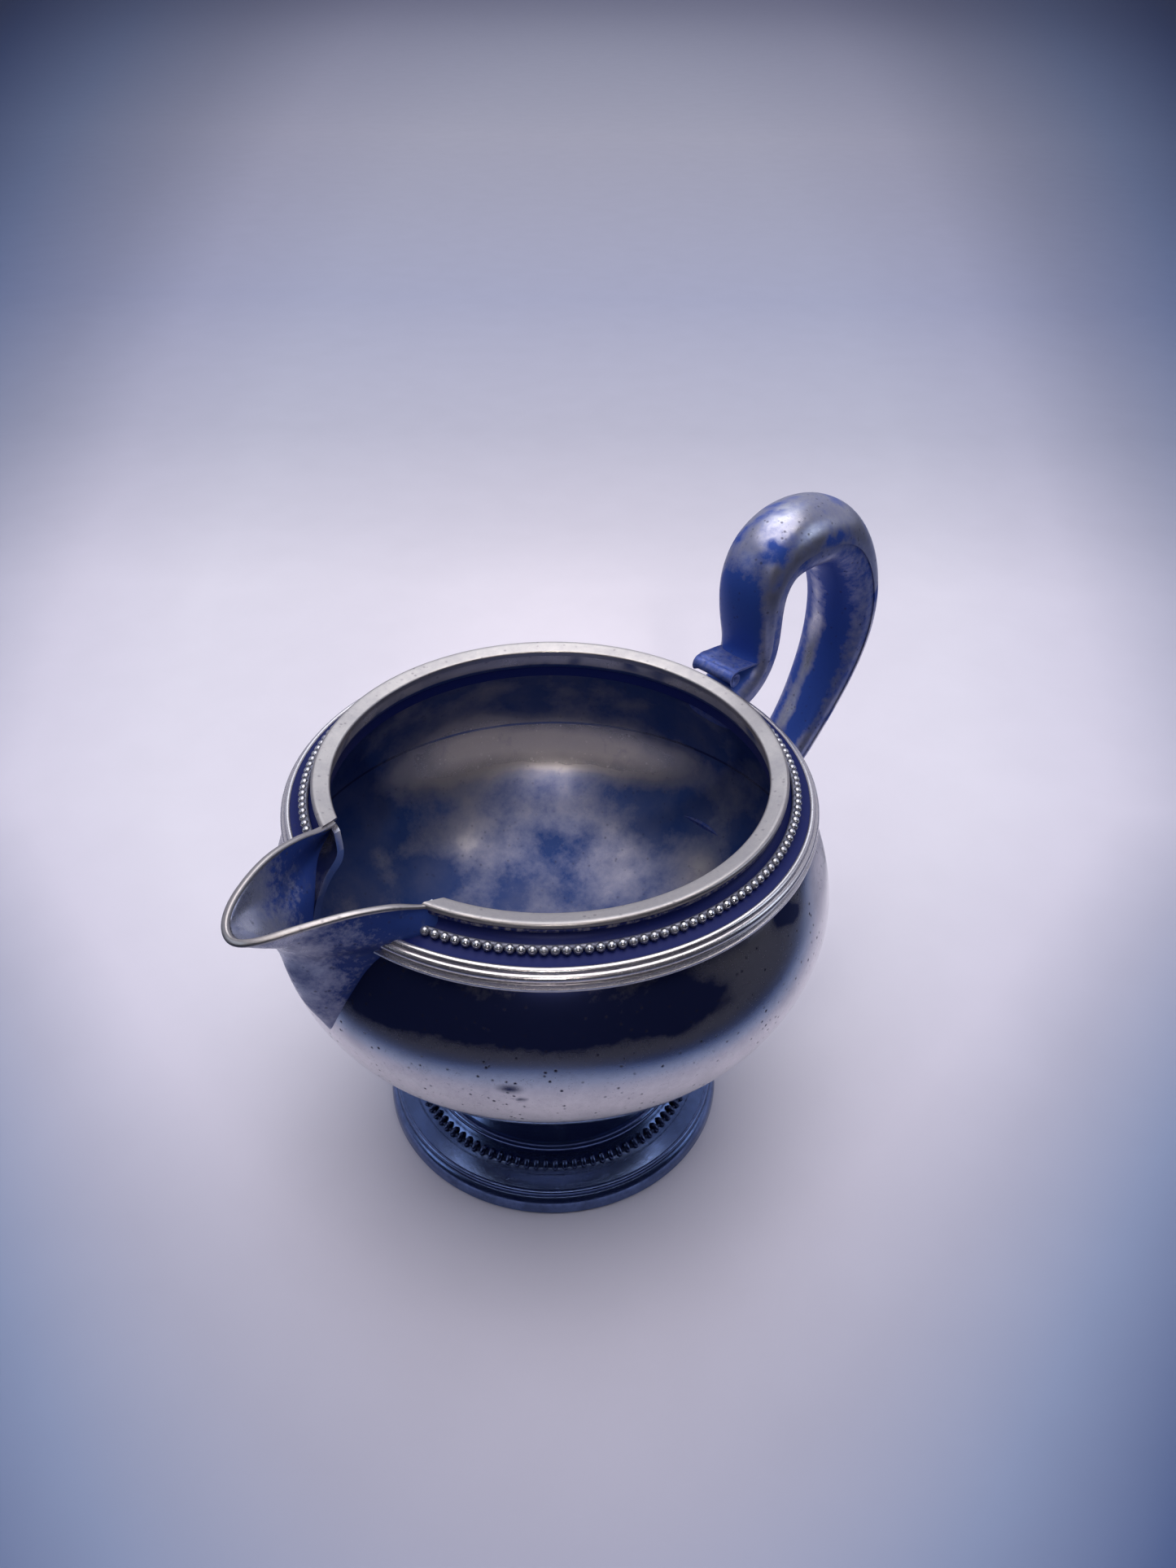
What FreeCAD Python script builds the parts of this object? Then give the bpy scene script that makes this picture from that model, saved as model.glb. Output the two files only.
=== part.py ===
import FreeCAD, Part
import math
import os

# Small pedestal cream jug, raised and soldered from sheet, wire and two handle stampings.
# Millimetres. +Z is up, the spout points along -X and the handle along +X.
# The origin is the centre of the foot ring, on the plane the jug stands on.

# ---------------------------------------------------------------- driving dimensions
FOOT_R = 30.0            # outer radius of the base moulding
FOOT_CAVITY_R = 27.2     # inner radius of the base moulding's flat bottom
BELLY_R = 44.4           # largest outer radius of the bowl
BELLY_Z = 50.0           # height of the largest radius
BOWL_BOTTOM_Z = 20.6     # lowest point of the bowl's outer surface
BOWL_DROP = BELLY_Z - BOWL_BOTTOM_Z
BOWL_WALL = 1.0          # bowl sheet
NECK_R = 34.3            # outer radius of the short neck
WALL_TOP_Z = 70.9        # where the bowl wall stops under the rim wire
RIM_IN_R = 33.0
RIM_OUT_R = 35.85
RIM_TOP_Z = 72.3
BEAD_RING_R = 37.3       # centre line of the neck's beaded wire
BEAD_RING_Z = 69.2
BEAD_WIRE_R = 0.66
FLANGE_R = 40.9          # edge of the reeded moulding's lower flange
FLANGE_Z = 65.5
STEM_R = 14.6            # waist of the stem under the bowl
COLLAR_R = 22.6
COLLAR_Z = 8.0
FOOT_BEAD_R = 24.7
FOOT_BEAD_Z = 6.1
SPOUT_WALL = 0.8
HANDLE_WALL = 0.9
SEAM_PROUD = 0.22        # how far the outer handle shell laps over the inner one

V = FreeCAD.Vector
OUT = "parts"
os.makedirs(OUT, exist_ok=True)


# ---------------------------------------------------------------- helpers
def spline(points, closed=False):
    c = Part.BSplineCurve()
    c.interpolate([V(*p) for p in points], PeriodicFlag=closed)
    return c.toShape()


def line(a, b):
    return Part.LineSegment(V(*a), V(*b)).toShape()


def rz(p):
    return (p[0], 0.0, p[1])


def revolve(edges):
    # edges: a closed chain in the XZ plane, radius along X
    w = Part.Wire(edges)
    f = Part.Face(w)
    s = f.revolve(V(0, 0, 0), V(0, 0, 1), 360)
    if s.Volume < 0:
        s.reverse()
    return s


def rev_poly(pts):
    p = [rz(q) for q in pts]
    return revolve([line(p[i], p[(i + 1) % len(p)]) for i in range(len(p))])


def offset_polyline(pts, t):
    # moves an open (r, z) line sideways by t, to the left of its direction
    out = []
    n = len(pts)
    for i in range(n):
        a = pts[max(i - 1, 0)]
        b = pts[min(i + 1, n - 1)]
        dx, dz = b[0] - a[0], b[1] - a[1]
        d = math.hypot(dx, dz)
        out.append((pts[i][0] - dz / d * t, pts[i][1] + dx / d * t))
    return out


def one_solid(shape):
    # keeps the largest solid of a boolean result
    s = sorted(shape.Solids, key=lambda q: q.Volume)[-1]
    return s


def clean(shape):
    try:
        r = shape.removeSplitter()
        if r.isValid() and len(r.Solids) == len(shape.Solids):
            return r
    except Exception:
        pass
    return shape


# ---------------------------------------------------------------- bowl
def lower_r(z):
    return BELLY_R * math.sqrt(max(0.0, 1.0 - ((BELLY_Z - z) / BOWL_DROP) ** 2))


bowl_outer = [(0.0, BOWL_BOTTOM_Z)]
for k in range(1, 15):
    a = math.radians(90.0 * k / 15.0)
    bowl_outer.append((BELLY_R * math.sin(a), BELLY_Z - BOWL_DROP * math.cos(a)))
bowl_outer += [(BELLY_R, BELLY_Z), (44.05, 53.2), (43.2, 56.5), (42.1, 59.6), (40.9, 62.4),
               (39.5, 64.8), (38.2, 66.4), (36.6, 67.65), (35.3, 68.35), (34.75, 68.85), (34.5, 69.6), (NECK_R, WALL_TOP_Z)]
bowl_inner = offset_polyline(bowl_outer, BOWL_WALL)
bowl_inner[0] = (0.0, BOWL_BOTTOM_Z + BOWL_WALL)
bowl_inner[-1] = (NECK_R - BOWL_WALL, WALL_TOP_Z)

bowl_hull = revolve([spline([rz(p) for p in bowl_outer]),
                     line(rz((NECK_R, WALL_TOP_Z)), rz((0, WALL_TOP_Z))),
                     line(rz((0, WALL_TOP_Z)), rz((0, BOWL_BOTTOM_Z)))])
bowl_cavity = revolve([spline([rz(p) for p in bowl_inner]),
                       line(rz(bowl_inner[-1]), rz((NECK_R - BOWL_WALL, WALL_TOP_Z + 6))),
                       line(rz((NECK_R - BOWL_WALL, WALL_TOP_Z + 6)), rz((0, WALL_TOP_Z + 6))),
                       line(rz((0, WALL_TOP_Z + 6)), rz(bowl_inner[0]))])

# pouring opening cut through the wall behind the spout: half widths at each height
cut_half = [(54.6, 0.0), (55.6, 2.1), (58.0, 3.9), (61.8, 5.7), (63.8, 6.4), (66.9, 7.3), (69.2, 8.7),
            (71.5, 10.5), (76.0, 11.0)]
side = [(-26.0, y, z) for z, y in reversed(cut_half)]
other = [(-26.0, -y, z) for z, y in cut_half[1:]]
cut_edges = [spline(side + other), line(other[-1], side[0])]
pour_cut = Part.Face(Part.Wire(cut_edges)).extrude(V(-24, 0, 0))

# ---------------------------------------------------------------- spout volume
# horizontal outlines of the spout's outer surface, from inside the bowl to the nose
spout_sections = [
    (45.0, [(-30, 3.0), (-34, 2.9), (-37, 2.7), (-39.5, 2.3), (-41.5, 1.7), (-42.8, 0.9), (-43.2, 0)]),
    (50.0, [(-30, 4.0), (-35, 3.9), (-39, 3.6), (-41.7, 3.1), (-43.6, 2.4), (-44.8, 1.3), (-45.2, 0)]),
    (54.0, [(-30, 5.2), (-36, 5.0), (-40, 4.6), (-43, 3.9), (-45, 2.9), (-46.3, 1.6), (-46.8, 0)]),
    (58.0, [(-30, 6.9), (-36, 6.6), (-40, 5.9), (-43.3, 4.8), (-45.7, 3.4), (-47.3, 1.8), (-47.9, 0)]),
    (62.0, [(-30, 9.2), (-36, 8.5), (-40, 7.0), (-43.5, 5.3), (-46.2, 3.7), (-48.0, 1.9), (-48.6, 0)]),
    (65.5, [(-30, 12.4), (-35.5, 10.7), (-40.1, 7.9), (-43.6, 5.8), (-46.6, 3.9), (-48.5, 2.0), (-49.1, 0)]),
    (68.0, [(-30, 14.0), (-35, 12.5), (-39.2, 10.0), (-43.2, 7.6), (-46.9, 5.0), (-49.3, 2.5), (-50.1, 0)]),
    (70.0, [(-30, 13.4), (-35, 12.0), (-39.4, 10.1), (-43.7, 8.0), (-48.1, 5.3), (-51.0, 2.6), (-52.0, 0)]),
    (72.0, [(-30, 12.2), (-34.5, 11.2), (-39.5, 9.8), (-44.2, 8.0), (-49.2, 5.6), (-53.4, 2.9), (-54.9, 0)]),
    (74.0, [(-30, 11.9), (-34.5, 11.0), (-39.8, 9.7), (-45.0, 8.0), (-50.5, 5.6), (-55.0, 2.9), (-56.9, 0)]),
    (76.0, [(-30, 11.9), (-34.5, 11.0), (-40.0, 9.8), (-45.5, 8.1), (-51.5, 5.7), (-56.2, 3.0), (-58.2, 0)]),
]
# height of the lip's free edge along the spout
lip_line = [(-30.0, 71.5), (-32.5, 71.7), (-33.6, 72.0), (-35.0, 72.5), (-37.2, 73.4), (-40.3, 74.3),
            (-43.3, 74.85), (-46.2, 75.0), (-49.9, 74.75), (-51.7, 74.45), (-53.4, 74.0), (-55.0, 73.4),
            (-56.0, 72.8), (-58.5, 71.2)]


def refine(sections, step=1.5):
    # more outlines between the given ones, on a smooth curve through them
    zs = [q[0] for q in sections]
    out = []
    n = len(sections)

    def tangent(i, j, c):
        lo, hi = max(i - 1, 0), min(i + 1, n - 1)
        return (sections[hi][1][j][c] - sections[lo][1][j][c]) / (zs[hi] - zs[lo])

    for i in range(n - 1):
        h = zs[i + 1] - zs[i]
        m = max(1, int(round(h / step)))
        for q in range(m):
            u = q / m
            pts = []
            for j in range(len(sections[i][1])):
                p = []
                for c in (0, 1):
                    y0, y1 = sections[i][1][j][c], sections[i + 1][1][j][c]
                    t0, t1 = tangent(i, j, c) * h, tangent(i + 1, j, c) * h
                    p.append((2 * u ** 3 - 3 * u ** 2 + 1) * y0 + (u ** 3 - 2 * u ** 2 + u) * t0
                             + (-2 * u ** 3 + 3 * u ** 2) * y1 + (u ** 3 - u ** 2) * t1)
                pts.append((p[0], p[1]))
            out.append((zs[i] + u * h, pts))
    out.append(sections[-1])
    return out


spout_fine = refine(spout_sections)


def mirrored(pts):
    return list(pts) + [(x, -y) for x, y in reversed(pts[:-1])]


def spout_volume(t):
    # t > 0 moves the surface outwards, t < 0 inwards, square to the surface
    wires = []
    ns = len(spout_fine)
    for k, (z, pts) in enumerate(spout_fine):
        full = mirrored(pts)
        za, fa = spout_fine[max(k - 1, 0)][0], mirrored(spout_fine[max(k - 1, 0)][1])
        zb, fb = spout_fine[min(k + 1, ns - 1)][0], mirrored(spout_fine[min(k + 1, ns - 1)][1])
        out = []
        n = len(full)
        for i in range(n):
            a = full[max(i - 1, 0)]
            b = full[min(i + 1, n - 1)]
            dx, dy = b[0] - a[0], b[1] - a[1]
            d = math.hypot(dx, dy)
            nx, ny = dy / d, -dx / d
            if nx * (full[i][0] + 20) + ny * full[i][1] < 0:
                nx, ny = -nx, -ny
            slope = ((fb[i][0] - fa[i][0]) * nx + (fb[i][1] - fa[i][1]) * ny) / (zb - za)
            f = t * math.sqrt(1 + slope * slope)
            if i in (0, n - 1):
                nx, ny = 0.0, (1.0 if full[i][1] > 0 else -1.0)
            out.append((full[i][0] + nx * f, full[i][1] + ny * f, z))
        # volumes cut from one another end at different levels
        over = -1.5 * t
        if k == 0:
            out = [(x, y, q - over) for x, y, q in out]
        if k == ns - 1:
            out = [(x, y, q + over) for x, y, q in out]
        out[0] = (out[0][0] + over, out[0][1], out[0][2])
        out[-1] = (out[-1][0] + over, out[-1][1], out[-1][2])
        wires.append(Part.Wire([spline(out), line(out[-1], out[0])]))
    s = Part.makeLoft(wires, True, True)
    return s


def above_lip(drop):
    # everything above the lip line lowered by drop
    top = [(x, 0.0, z - drop) for x, z in lip_line]
    e = [spline(top), line(top[-1], (-64, 0, top[-1][2])), line((-64, 0, top[-1][2]), (-64, 0, 90)),
         line((-64, 0, 90), (-30, 0, 90)), line((-30, 0, 90), top[0])]
    f = Part.Face(Part.Wire(e))
    f.translate(V(0, -30, 0))
    return f.extrude(V(0, 60, 0))


spout_out = spout_volume(0.0)
spout_in = spout_volume(-SPOUT_WALL)
spout_lip_out = spout_volume(0.22)
mouth_clear = bowl_hull.fuse(Part.makeCylinder(33.6, 10, V(0, 0, WALL_TOP_Z - 0.5)))
LIP_BAND = 0.62
spout_body = spout_out.cut(spout_in).cut(above_lip(LIP_BAND)).cut(mouth_clear)
spout_body = sorted(spout_body.Solids, key=lambda q: q.CenterOfMass.x)[0]
spout_edge = spout_lip_out.cut(spout_in).common(above_lip(LIP_BAND)).cut(above_lip(0.0)).cut(mouth_clear)
spout_edge = sorted(spout_edge.Solids, key=lambda q: q.CenterOfMass.x)[0]

bowl = one_solid(bowl_hull.cut(bowl_cavity).cut(pour_cut))

# ---------------------------------------------------------------- neck and shoulder mouldings
# the space the spout takes out of every ring: its full volume, open behind
ring_gap = spout_out.fuse(above_lip(0.0).common(Part.makeBox(40, 23, 12, V(-64, -11.5, 69.0))))

rim = revolve([line(rz((RIM_IN_R + 0.05, 70.9)), rz((RIM_IN_R, 71.5))),
               Part.Arc(V(RIM_IN_R, 0, 71.5), V(RIM_IN_R + 0.06, 0, 71.75), V(RIM_IN_R + 0.28, 0, 71.88)).toShape(),
               line(rz((RIM_IN_R + 0.28, 71.88)), rz((RIM_OUT_R - 0.45, RIM_TOP_Z))),
               Part.Arc(V(RIM_OUT_R - 0.45, 0, RIM_TOP_Z), V(RIM_OUT_R - 0.1, 0, RIM_TOP_Z - 0.2), V(RIM_OUT_R, 0, RIM_TOP_Z - 0.55)).toShape(),
               line(rz((RIM_OUT_R, RIM_TOP_Z - 0.55)), rz((RIM_OUT_R - 0.1, 71.42))),
               line(rz((RIM_OUT_R - 0.1, 71.42)), rz((35.0, 71.3))),
               line(rz((35.0, 71.3)), rz((NECK_R, 70.9))),
               line(rz((NECK_R, 70.9)), rz((RIM_IN_R + 0.05, 70.9)))])
rim = one_solid(rim.cut(ring_gap))

# thin plain wire tucked under the rim
FIL_R, FIL_Z, FIL_T = 35.42, 70.98, 0.33
fillet_ring = Part.makeTorus(FIL_R, FIL_T, V(0, 0, FIL_Z), V(0, 0, 1))

beaded = Part.makeTorus(BEAD_RING_R, BEAD_WIRE_R, V(0, 0, BEAD_RING_Z), V(0, 0, 1))

# reeded moulding on the shoulder: cavetto ledge, two ribs, groove, thin flange
reed_edges = [
    line(rz((34.2, 68.4)), rz((35.9, 68.72))),
    line(rz((35.9, 68.72)), rz((37.9, 68.46))),
    Part.Arc(V(37.9, 0, 68.46), V(38.6, 0, 68.26), V(39.28, 0, 68.22)).toShape(),
    Part.Arc(V(39.28, 0, 68.22), V(39.78, 0, 68.42), V(40.12, 0, 67.78)).toShape(),
    Part.Arc(V(40.12, 0, 67.78), V(40.78, 0, 67.30), V(40.30, 0, 66.50)).toShape(),
    Part.Arc(V(40.30, 0, 66.50), V(40.12, 0, 66.05), V(40.45, 0, 65.80)).toShape(),
    line(rz((40.45, 65.80)), rz((FLANGE_R, 65.68))),
    line(rz((FLANGE_R, 65.68)), rz((FLANGE_R, 65.30))),
    line(rz((FLANGE_R, 65.30)), rz((38.2, 64.85))),
    line(rz((38.2, 64.85)), rz((34.2, 66.2))),
    line(rz((34.2, 66.2)), rz((34.2, 68.4))),
]
reeded_full = one_solid(revolve(reed_edges).cut(bowl_hull).cut(beaded))
reeded = one_solid(reeded_full.cut(ring_gap))

# plain concave band between rim and beads
band_edges = [
    line(rz((33.9, WALL_TOP_Z)), rz((35.05, WALL_TOP_Z))),
    spline([rz(p) for p in [(35.05, WALL_TOP_Z), (35.1, 70.3), (35.3, 69.8), (35.75, 69.3), (36.35, 68.95), (36.9, 68.8)]]),
    line(rz((36.9, 68.8)), rz((36.9, 68.3))),
    line(rz((36.9, 68.3)), rz((33.9, 68.3))),
    line(rz((33.9, 68.3)), rz((33.9, WALL_TOP_Z))),
]
band = revolve(band_edges).cut(bowl_hull).cut(reeded_full).cut(beaded).cut(fillet_ring)
band = one_solid(band)
band = one_solid(band.cut(ring_gap))
fillet = one_solid(fillet_ring.cut(rim).cut(ring_gap))
beaded_c = one_solid(beaded.cut(ring_gap))

# ---------------------------------------------------------------- handle
# seam line of the handle in the XZ plane with its half width, dome, side wall and inner crown
handle_line = [
    # x,    z,    half, dome, side, crown
    (41.9, 66.0, 4.3, 2.8, 2.4, 1.2),
    (45.4, 68.3, 4.6, 2.8, 2.6, 1.4),
    (47.4, 72.1, 4.93, 2.6, 2.6, 1.63),
    (47.27, 76.60, 5.33, 3.04, 2.70, 1.87),
    (46.97, 81.01, 5.59, 3.65, 2.70, 2.10),
    (47.66, 85.26, 5.81, 4.52, 2.70, 2.29),
    (50.24, 88.47, 6.01, 5.64, 2.60, 2.45),
    (54.79, 89.86, 6.33, 6.41, 2.60, 2.47),
    (59.78, 89.77, 6.49, 6.65, 2.60, 2.59),
    (65.00, 88.56, 6.51, 6.44, 2.60, 2.80),
    (69.91, 85.42, 6.55, 5.69, 2.70, 3.13),
    (73.96, 80.37, 6.56, 4.85, 2.80, 3.48),
    (76.49, 73.88, 6.57, 4.12, 2.80, 3.65),
    (76.88, 67.28, 6.41, 3.63, 2.80, 3.46),
    (75.45, 61.23, 6.07, 3.27, 2.60, 3.08),
    (72.62, 55.32, 5.60, 2.98, 2.40, 2.51),
    (68.65, 49.54, 5.11, 2.75, 2.20, 2.03),
    (63.64, 44.17, 4.81, 2.65, 2.00, 1.55),
    (57.59, 39.64, 4.52, 2.54, 1.80, 1.18),
    (51.01, 36.61, 4.30, 2.44, 1.70, 1.00),
    (44.17, 35.42, 4.28, 2.43, 1.60, 0.82),
]
HANDLE_STATIONS = 45
path = Part.BSplineCurve()
path.interpolate([V(p[0], 0, p[1]) for p in handle_line])
knots = [path.parameter(V(p[0], 0, p[1])) for p in handle_line]


def smooth_value(u, col):
    # cubic curve through the table's values along the path
    i = 0
    while i < len(knots) - 2 and u > knots[i + 1]:
        i += 1
    h = knots[i + 1] - knots[i]
    x = (u - knots[i]) / h

    def slope(j):
        lo, hi = max(j - 1, 0), min(j + 1, len(knots) - 1)
        return (handle_line[hi][col] - handle_line[lo][col]) / (knots[hi] - knots[lo]) * h

    y0, y1 = handle_line[i][col], handle_line[i + 1][col]
    return ((2 * x ** 3 - 3 * x ** 2 + 1) * y0 + (x ** 3 - 2 * x ** 2 + x) * slope(i)
            + (-2 * x ** 3 + 3 * x ** 2) * y1 + (x ** 3 - x ** 2) * slope(i + 1))


stations = []
total = path.length(knots[0], knots[-1])
for k in range(HANDLE_STATIONS):
    u = path.parameterAtDistance(total * k / (HANDLE_STATIONS - 1), knots[0]) if k else knots[0]
    u = min(u, knots[-1])
    o, tan = path.value(u), path.tangent(u)[0]
    nrm = V(-tan.z, 0, tan.x)            # square to the path, away from the finger loop
    stations.append((o, tan, nrm, smooth_value(u, 2), smooth_value(u, 3), smooth_value(u, 4), smooth_value(u, 5)))


def at(st, y, n):
    o, tan, nrm = st[0], st[1], st[2]
    return (o.x + nrm.x * n, y, o.z + nrm.z * n)


def dome_pts(b, a, m=9):
    pts = []
    for k in range(m):
        f = math.pi * k / (m - 1)
        c, s = math.cos(f), math.sin(f)
        pts.append((b * math.copysign(abs(c) ** 0.9, c), a * abs(s) ** 0.92))
    return pts


def even_spline(points):
    # every section gets the same parameters, so a loft through them stays smooth
    c = Part.BSplineCurve()
    c.interpolate(Points=[V(*p) for p in points], Parameters=[float(k) for k in range(len(points))])
    return c.toShape()


def outer_section(st):
    b, a = st[3] + SEAM_PROUD, st[4]
    w = HANDLE_WALL
    o = [at(st, y, n) for y, n in dome_pts(b, a)]
    i = [at(st, y, n) for y, n in dome_pts(b - w - SEAM_PROUD, a - w)]
    return o, i


def tray_pts(b, h, c):
    half = [(b, 0.0), (b * 0.995, -h * 0.5), (b * 0.945, -h * 0.95), (b * 0.74, -h - c * 0.52),
            (b * 0.39, -h - c * 0.87)]
    return half + [(0.0, -h - c)] + [(-y, n) for y, n in reversed(half)]


def inner_section(st):
    b, h, c = st[3], st[5], st[6]
    w = HANDLE_WALL
    o = [at(st, y, n) for y, n in tray_pts(b, h, c)]
    i = [at(st, y, n) for y, n in tray_pts(b - w, h - w * 0.7, c - w * 0.3)]
    return o, i


def full_section(st, grow=0.0):
    b, a, h, c = st[3] + SEAM_PROUD + grow, st[4] + grow, st[5] + grow, st[6]
    o = [at(st, y, n) for y, n in dome_pts(b, a)]
    i = [at(st, y, n) for y, n in tray_pts(b, h, c)]
    return Part.Wire([even_spline(o), even_spline(list(reversed(i)))])


def loft(wires, straight=False):
    s = Part.makeLoft(wires, True, straight)
    if s.Volume < 0:
        s.reverse()
    return s


def half_shell(sections):
    # one stamping: two smooth skins through the stations' outlines, closed by flat strips
    skins = []
    for side in (0, 1):
        sf = Part.BSplineSurface()
        sf.interpolate([[V(*p) for p in sec[side]] for sec in sections])
        skins.append(sf)
    faces = [sf.toShape() for sf in skins]
    u0, u1, v0, v1 = skins[0].bounds()
    p0, p1, q0, q1 = skins[1].bounds()
    for a, b in ((v0, q0), (v1, q1)):
        faces.append(Part.makeRuledSurface(skins[0].vIso(a).toShape(), skins[1].vIso(b).toShape()))
    for a, b in ((u0, p0), (u1, p1)):
        e, f = skins[0].uIso(a).toShape(), skins[1].uIso(b).toShape()
        strip = [line(tuple(e.Vertexes[k].Point), tuple(f.Vertexes[k].Point)) for k in (0, 1)]
        faces.append(Part.Face(Part.Wire(Part.__sortEdges__([e, strip[0], f, strip[1]]))))
    sh = Part.Compound(faces)
    sh.sewShape(1e-4)
    s = Part.makeSolid(sh.Shells[0] if sh.Shells else Part.Shell(sh.Faces))
    if s.Volume < 0:
        s.reverse()
    return s


handle_outer = half_shell([outer_section(s) for s in stations])
handle_inner = half_shell([inner_section(s) for s in stations])
# vent hole low on the inner shell, so the hollow handle could be soldered up
vent_at = stations[36]
vent = Part.makeCylinder(0.6, 4.0, vent_at[0] - vent_at[2] * 0.8, vent_at[2] * -1.0)
handle_inner = one_solid(handle_inner.cut(vent))

# upper socket: closes the handle's end on to the shoulder moulding
st0 = stations[0]
sock_wires = []
for d, g in ((0.0, 0.0), (1.6, 0.15), (3.2, 0.3), (5.6, 0.3)):
    st = (st0[0] - st0[1] * d,) + tuple(st0[1:])
    sock_wires.append(full_section(st, g))
socket = loft(sock_wires)
neck_solids = bowl_hull.fuse(reeded_full).fuse(beaded)
socket = one_solid(socket.cut(neck_solids).cut(revolve(band_edges)))

# lower pad: closes the lower end on to the belly
stn = stations[-1]
pad_wires = []
for d, g in ((0.0, 0.0), (0.7, 0.5), (1.6, 0.75), (6.5, 0.75)):
    st = (stn[0] + stn[1] * d,) + tuple(stn[1:])
    pad_wires.append(full_section(st, g))
pad = one_solid(loft(pad_wires).cut(bowl_hull))

# rolled thumb tab between the handle and the rim
ROLL_R, ROLL_X, ROLL_Z, ROLL_LEN = 1.25, 39.3, 71.2, 9.0
roll = Part.makeCylinder(ROLL_R, ROLL_LEN, V(ROLL_X, -ROLL_LEN / 2, ROLL_Z), V(0, 1, 0))
strap_pts = [(ROLL_X, 0, ROLL_Z + ROLL_R), (45.0, 0, ROLL_Z + 0.6), (45.0, 0, ROLL_Z - 1.0), (ROLL_X, 0, ROLL_Z - 0.3)]
strap = Part.Face(Part.Wire([line(strap_pts[i], strap_pts[(i + 1) % 4]) for i in range(4)]))
strap.translate(V(0, -ROLL_LEN / 2 + 0.3, 0))
strap = strap.extrude(V(0, ROLL_LEN - 0.6, 0))
tab = roll.fuse(strap)
handle_full = loft([full_section(s) for s in stations], True)
tab = tab.cut(handle_full).cut(socket)
tab = sorted(tab.Solids, key=lambda s: s.CenterOfMass.x)[0]

# ---------------------------------------------------------------- foot
# stem: concave spool from the dome up to the bowl
stem_outer = [(21.75, 8.7), (20.4, 9.9), (18.4, 12.0), (16.5, 14.6), (15.1, 17.4), (STEM_R, 19.8), (14.9, 21.6), (15.9, 23.2)]
stem_inner = offset_polyline(stem_outer, 1.0)
stem = revolve([spline([rz(p) for p in stem_outer]), line(rz(stem_outer[-1]), rz(stem_inner[-1])),
                spline([rz(p) for p in reversed(stem_inner)]), line(rz(stem_inner[0]), rz(stem_outer[0]))])
stem = one_solid(stem.cut(bowl_hull))

# dome: slow slope from the stem to the base moulding
dome_outer = [(28.25, 4.3), (27.3, 4.7), (26.2, 5.15), (25.2, 5.6), (24.3, 6.15), (23.4, 6.9), (22.5, 7.8), (21.75, 8.7)]
dome_inner = offset_polyline(dome_outer, 0.9)
dome = revolve([spline([rz(p) for p in dome_outer]), line(rz(dome_outer[-1]), rz(dome_inner[-1])),
                spline([rz(p) for p in reversed(dome_inner)]), line(rz(dome_inner[0]), rz(dome_outer[0]))])
collar = Part.makeTorus(COLLAR_R, 0.72, V(0, 0, COLLAR_Z + 0.1), V(0, 0, 1))
foot_bead = Part.makeTorus(FOOT_BEAD_R, 0.62, V(0, 0, FOOT_BEAD_Z), V(0, 0, 1))
dome_cut = dome
stem = one_solid(stem.cut(dome))
collar = one_solid(collar.cut(dome).cut(stem))
foot_bead = one_solid(foot_bead.cut(dome))
step = revolve([line(rz((28.25, 3.3)), rz((28.25, 4.3))),
                Part.Arc(V(28.25, 0, 4.3), V(28.72, 0, 4.32), V(28.95, 0, 3.72)).toShape(),
                line(rz((28.95, 3.72)), rz((28.95, 3.3))),
                line(rz((28.95, 3.3)), rz((28.25, 3.3)))])
step = one_solid(step.cut(dome))
base = revolve([line(rz((FOOT_CAVITY_R, 0)), rz((29.6, 0))),
                Part.Arc(V(29.6, 0, 0), V(29.93, 0, 0.25), V(FOOT_R, 0, 0.7)).toShape(),
                line(rz((FOOT_R, 0.7)), rz((29.95, 1.5))),
                Part.Arc(V(29.95, 0, 1.5), V(29.65, 0, 2.55), V(28.95, 0, 3.3)).toShape(),
                line(rz((28.95, 3.3)), rz((FOOT_CAVITY_R, 3.3))),
                line(rz((FOOT_CAVITY_R, 3.3)), rz((FOOT_CAVITY_R, 0)))])
dome = one_solid(dome.cut(base))
# fills the corner between the dome's edge and the base moulding
seat = revolve([line(rz((FOOT_CAVITY_R, 3.3)), rz((28.25, 3.3))), line(rz((28.25, 3.3)), rz((28.25, 4.6))),
                line(rz((28.25, 4.6)), rz((FOOT_CAVITY_R, 4.9))), line(rz((FOOT_CAVITY_R, 4.9)), rz((FOOT_CAVITY_R, 3.3)))])
seat = seat.cut(dome)
seat = [s for s in seat.Solids if s.CenterOfMass.z < 4.2 and s.BoundBox.ZMin < 3.35]
if seat:
    base = one_solid(base.fuse(seat[0]))

# ---------------------------------------------------------------- write
nodes = {
    "bowl": bowl,
    "rim_wire": rim,
    "neck_fillet_wire": fillet,
    "neck_band": band,
    "neck_beaded_wire": beaded_c,
    "shoulder_reeded_wire": reeded,
    "spout": spout_body,
    "spout_edge_wire": spout_edge,
    "handle_outer_shell": handle_outer,
    "handle_inner_shell": handle_inner,
    "handle_upper_socket": socket,
    "handle_lower_pad": pad,
    "handle_scroll_tab": tab,
    "foot_stem": stem,
    "foot_collar_wire": collar,
    "foot_dome": dome,
    "foot_beaded_wire": foot_bead,
    "foot_step_wire": step,
    "foot_base_ring": base,
}
for name, shape in nodes.items():
    b = shape.BoundBox
    print("%-22s valid %s solids %d vol %9.2f  x %.1f..%.1f y %.1f..%.1f z %.1f..%.1f faces %d" % (
        name, shape.isValid(), len(shape.Solids), shape.Volume,
        b.XMin, b.XMax, b.YMin, b.YMax, b.ZMin, b.ZMax, len(shape.Faces)))
    shape.exportStep(os.path.join(OUT, name + ".step"))
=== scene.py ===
import bpy
import bmesh
import math
import numpy as np
from mathutils import Matrix, Vector, noise


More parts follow.
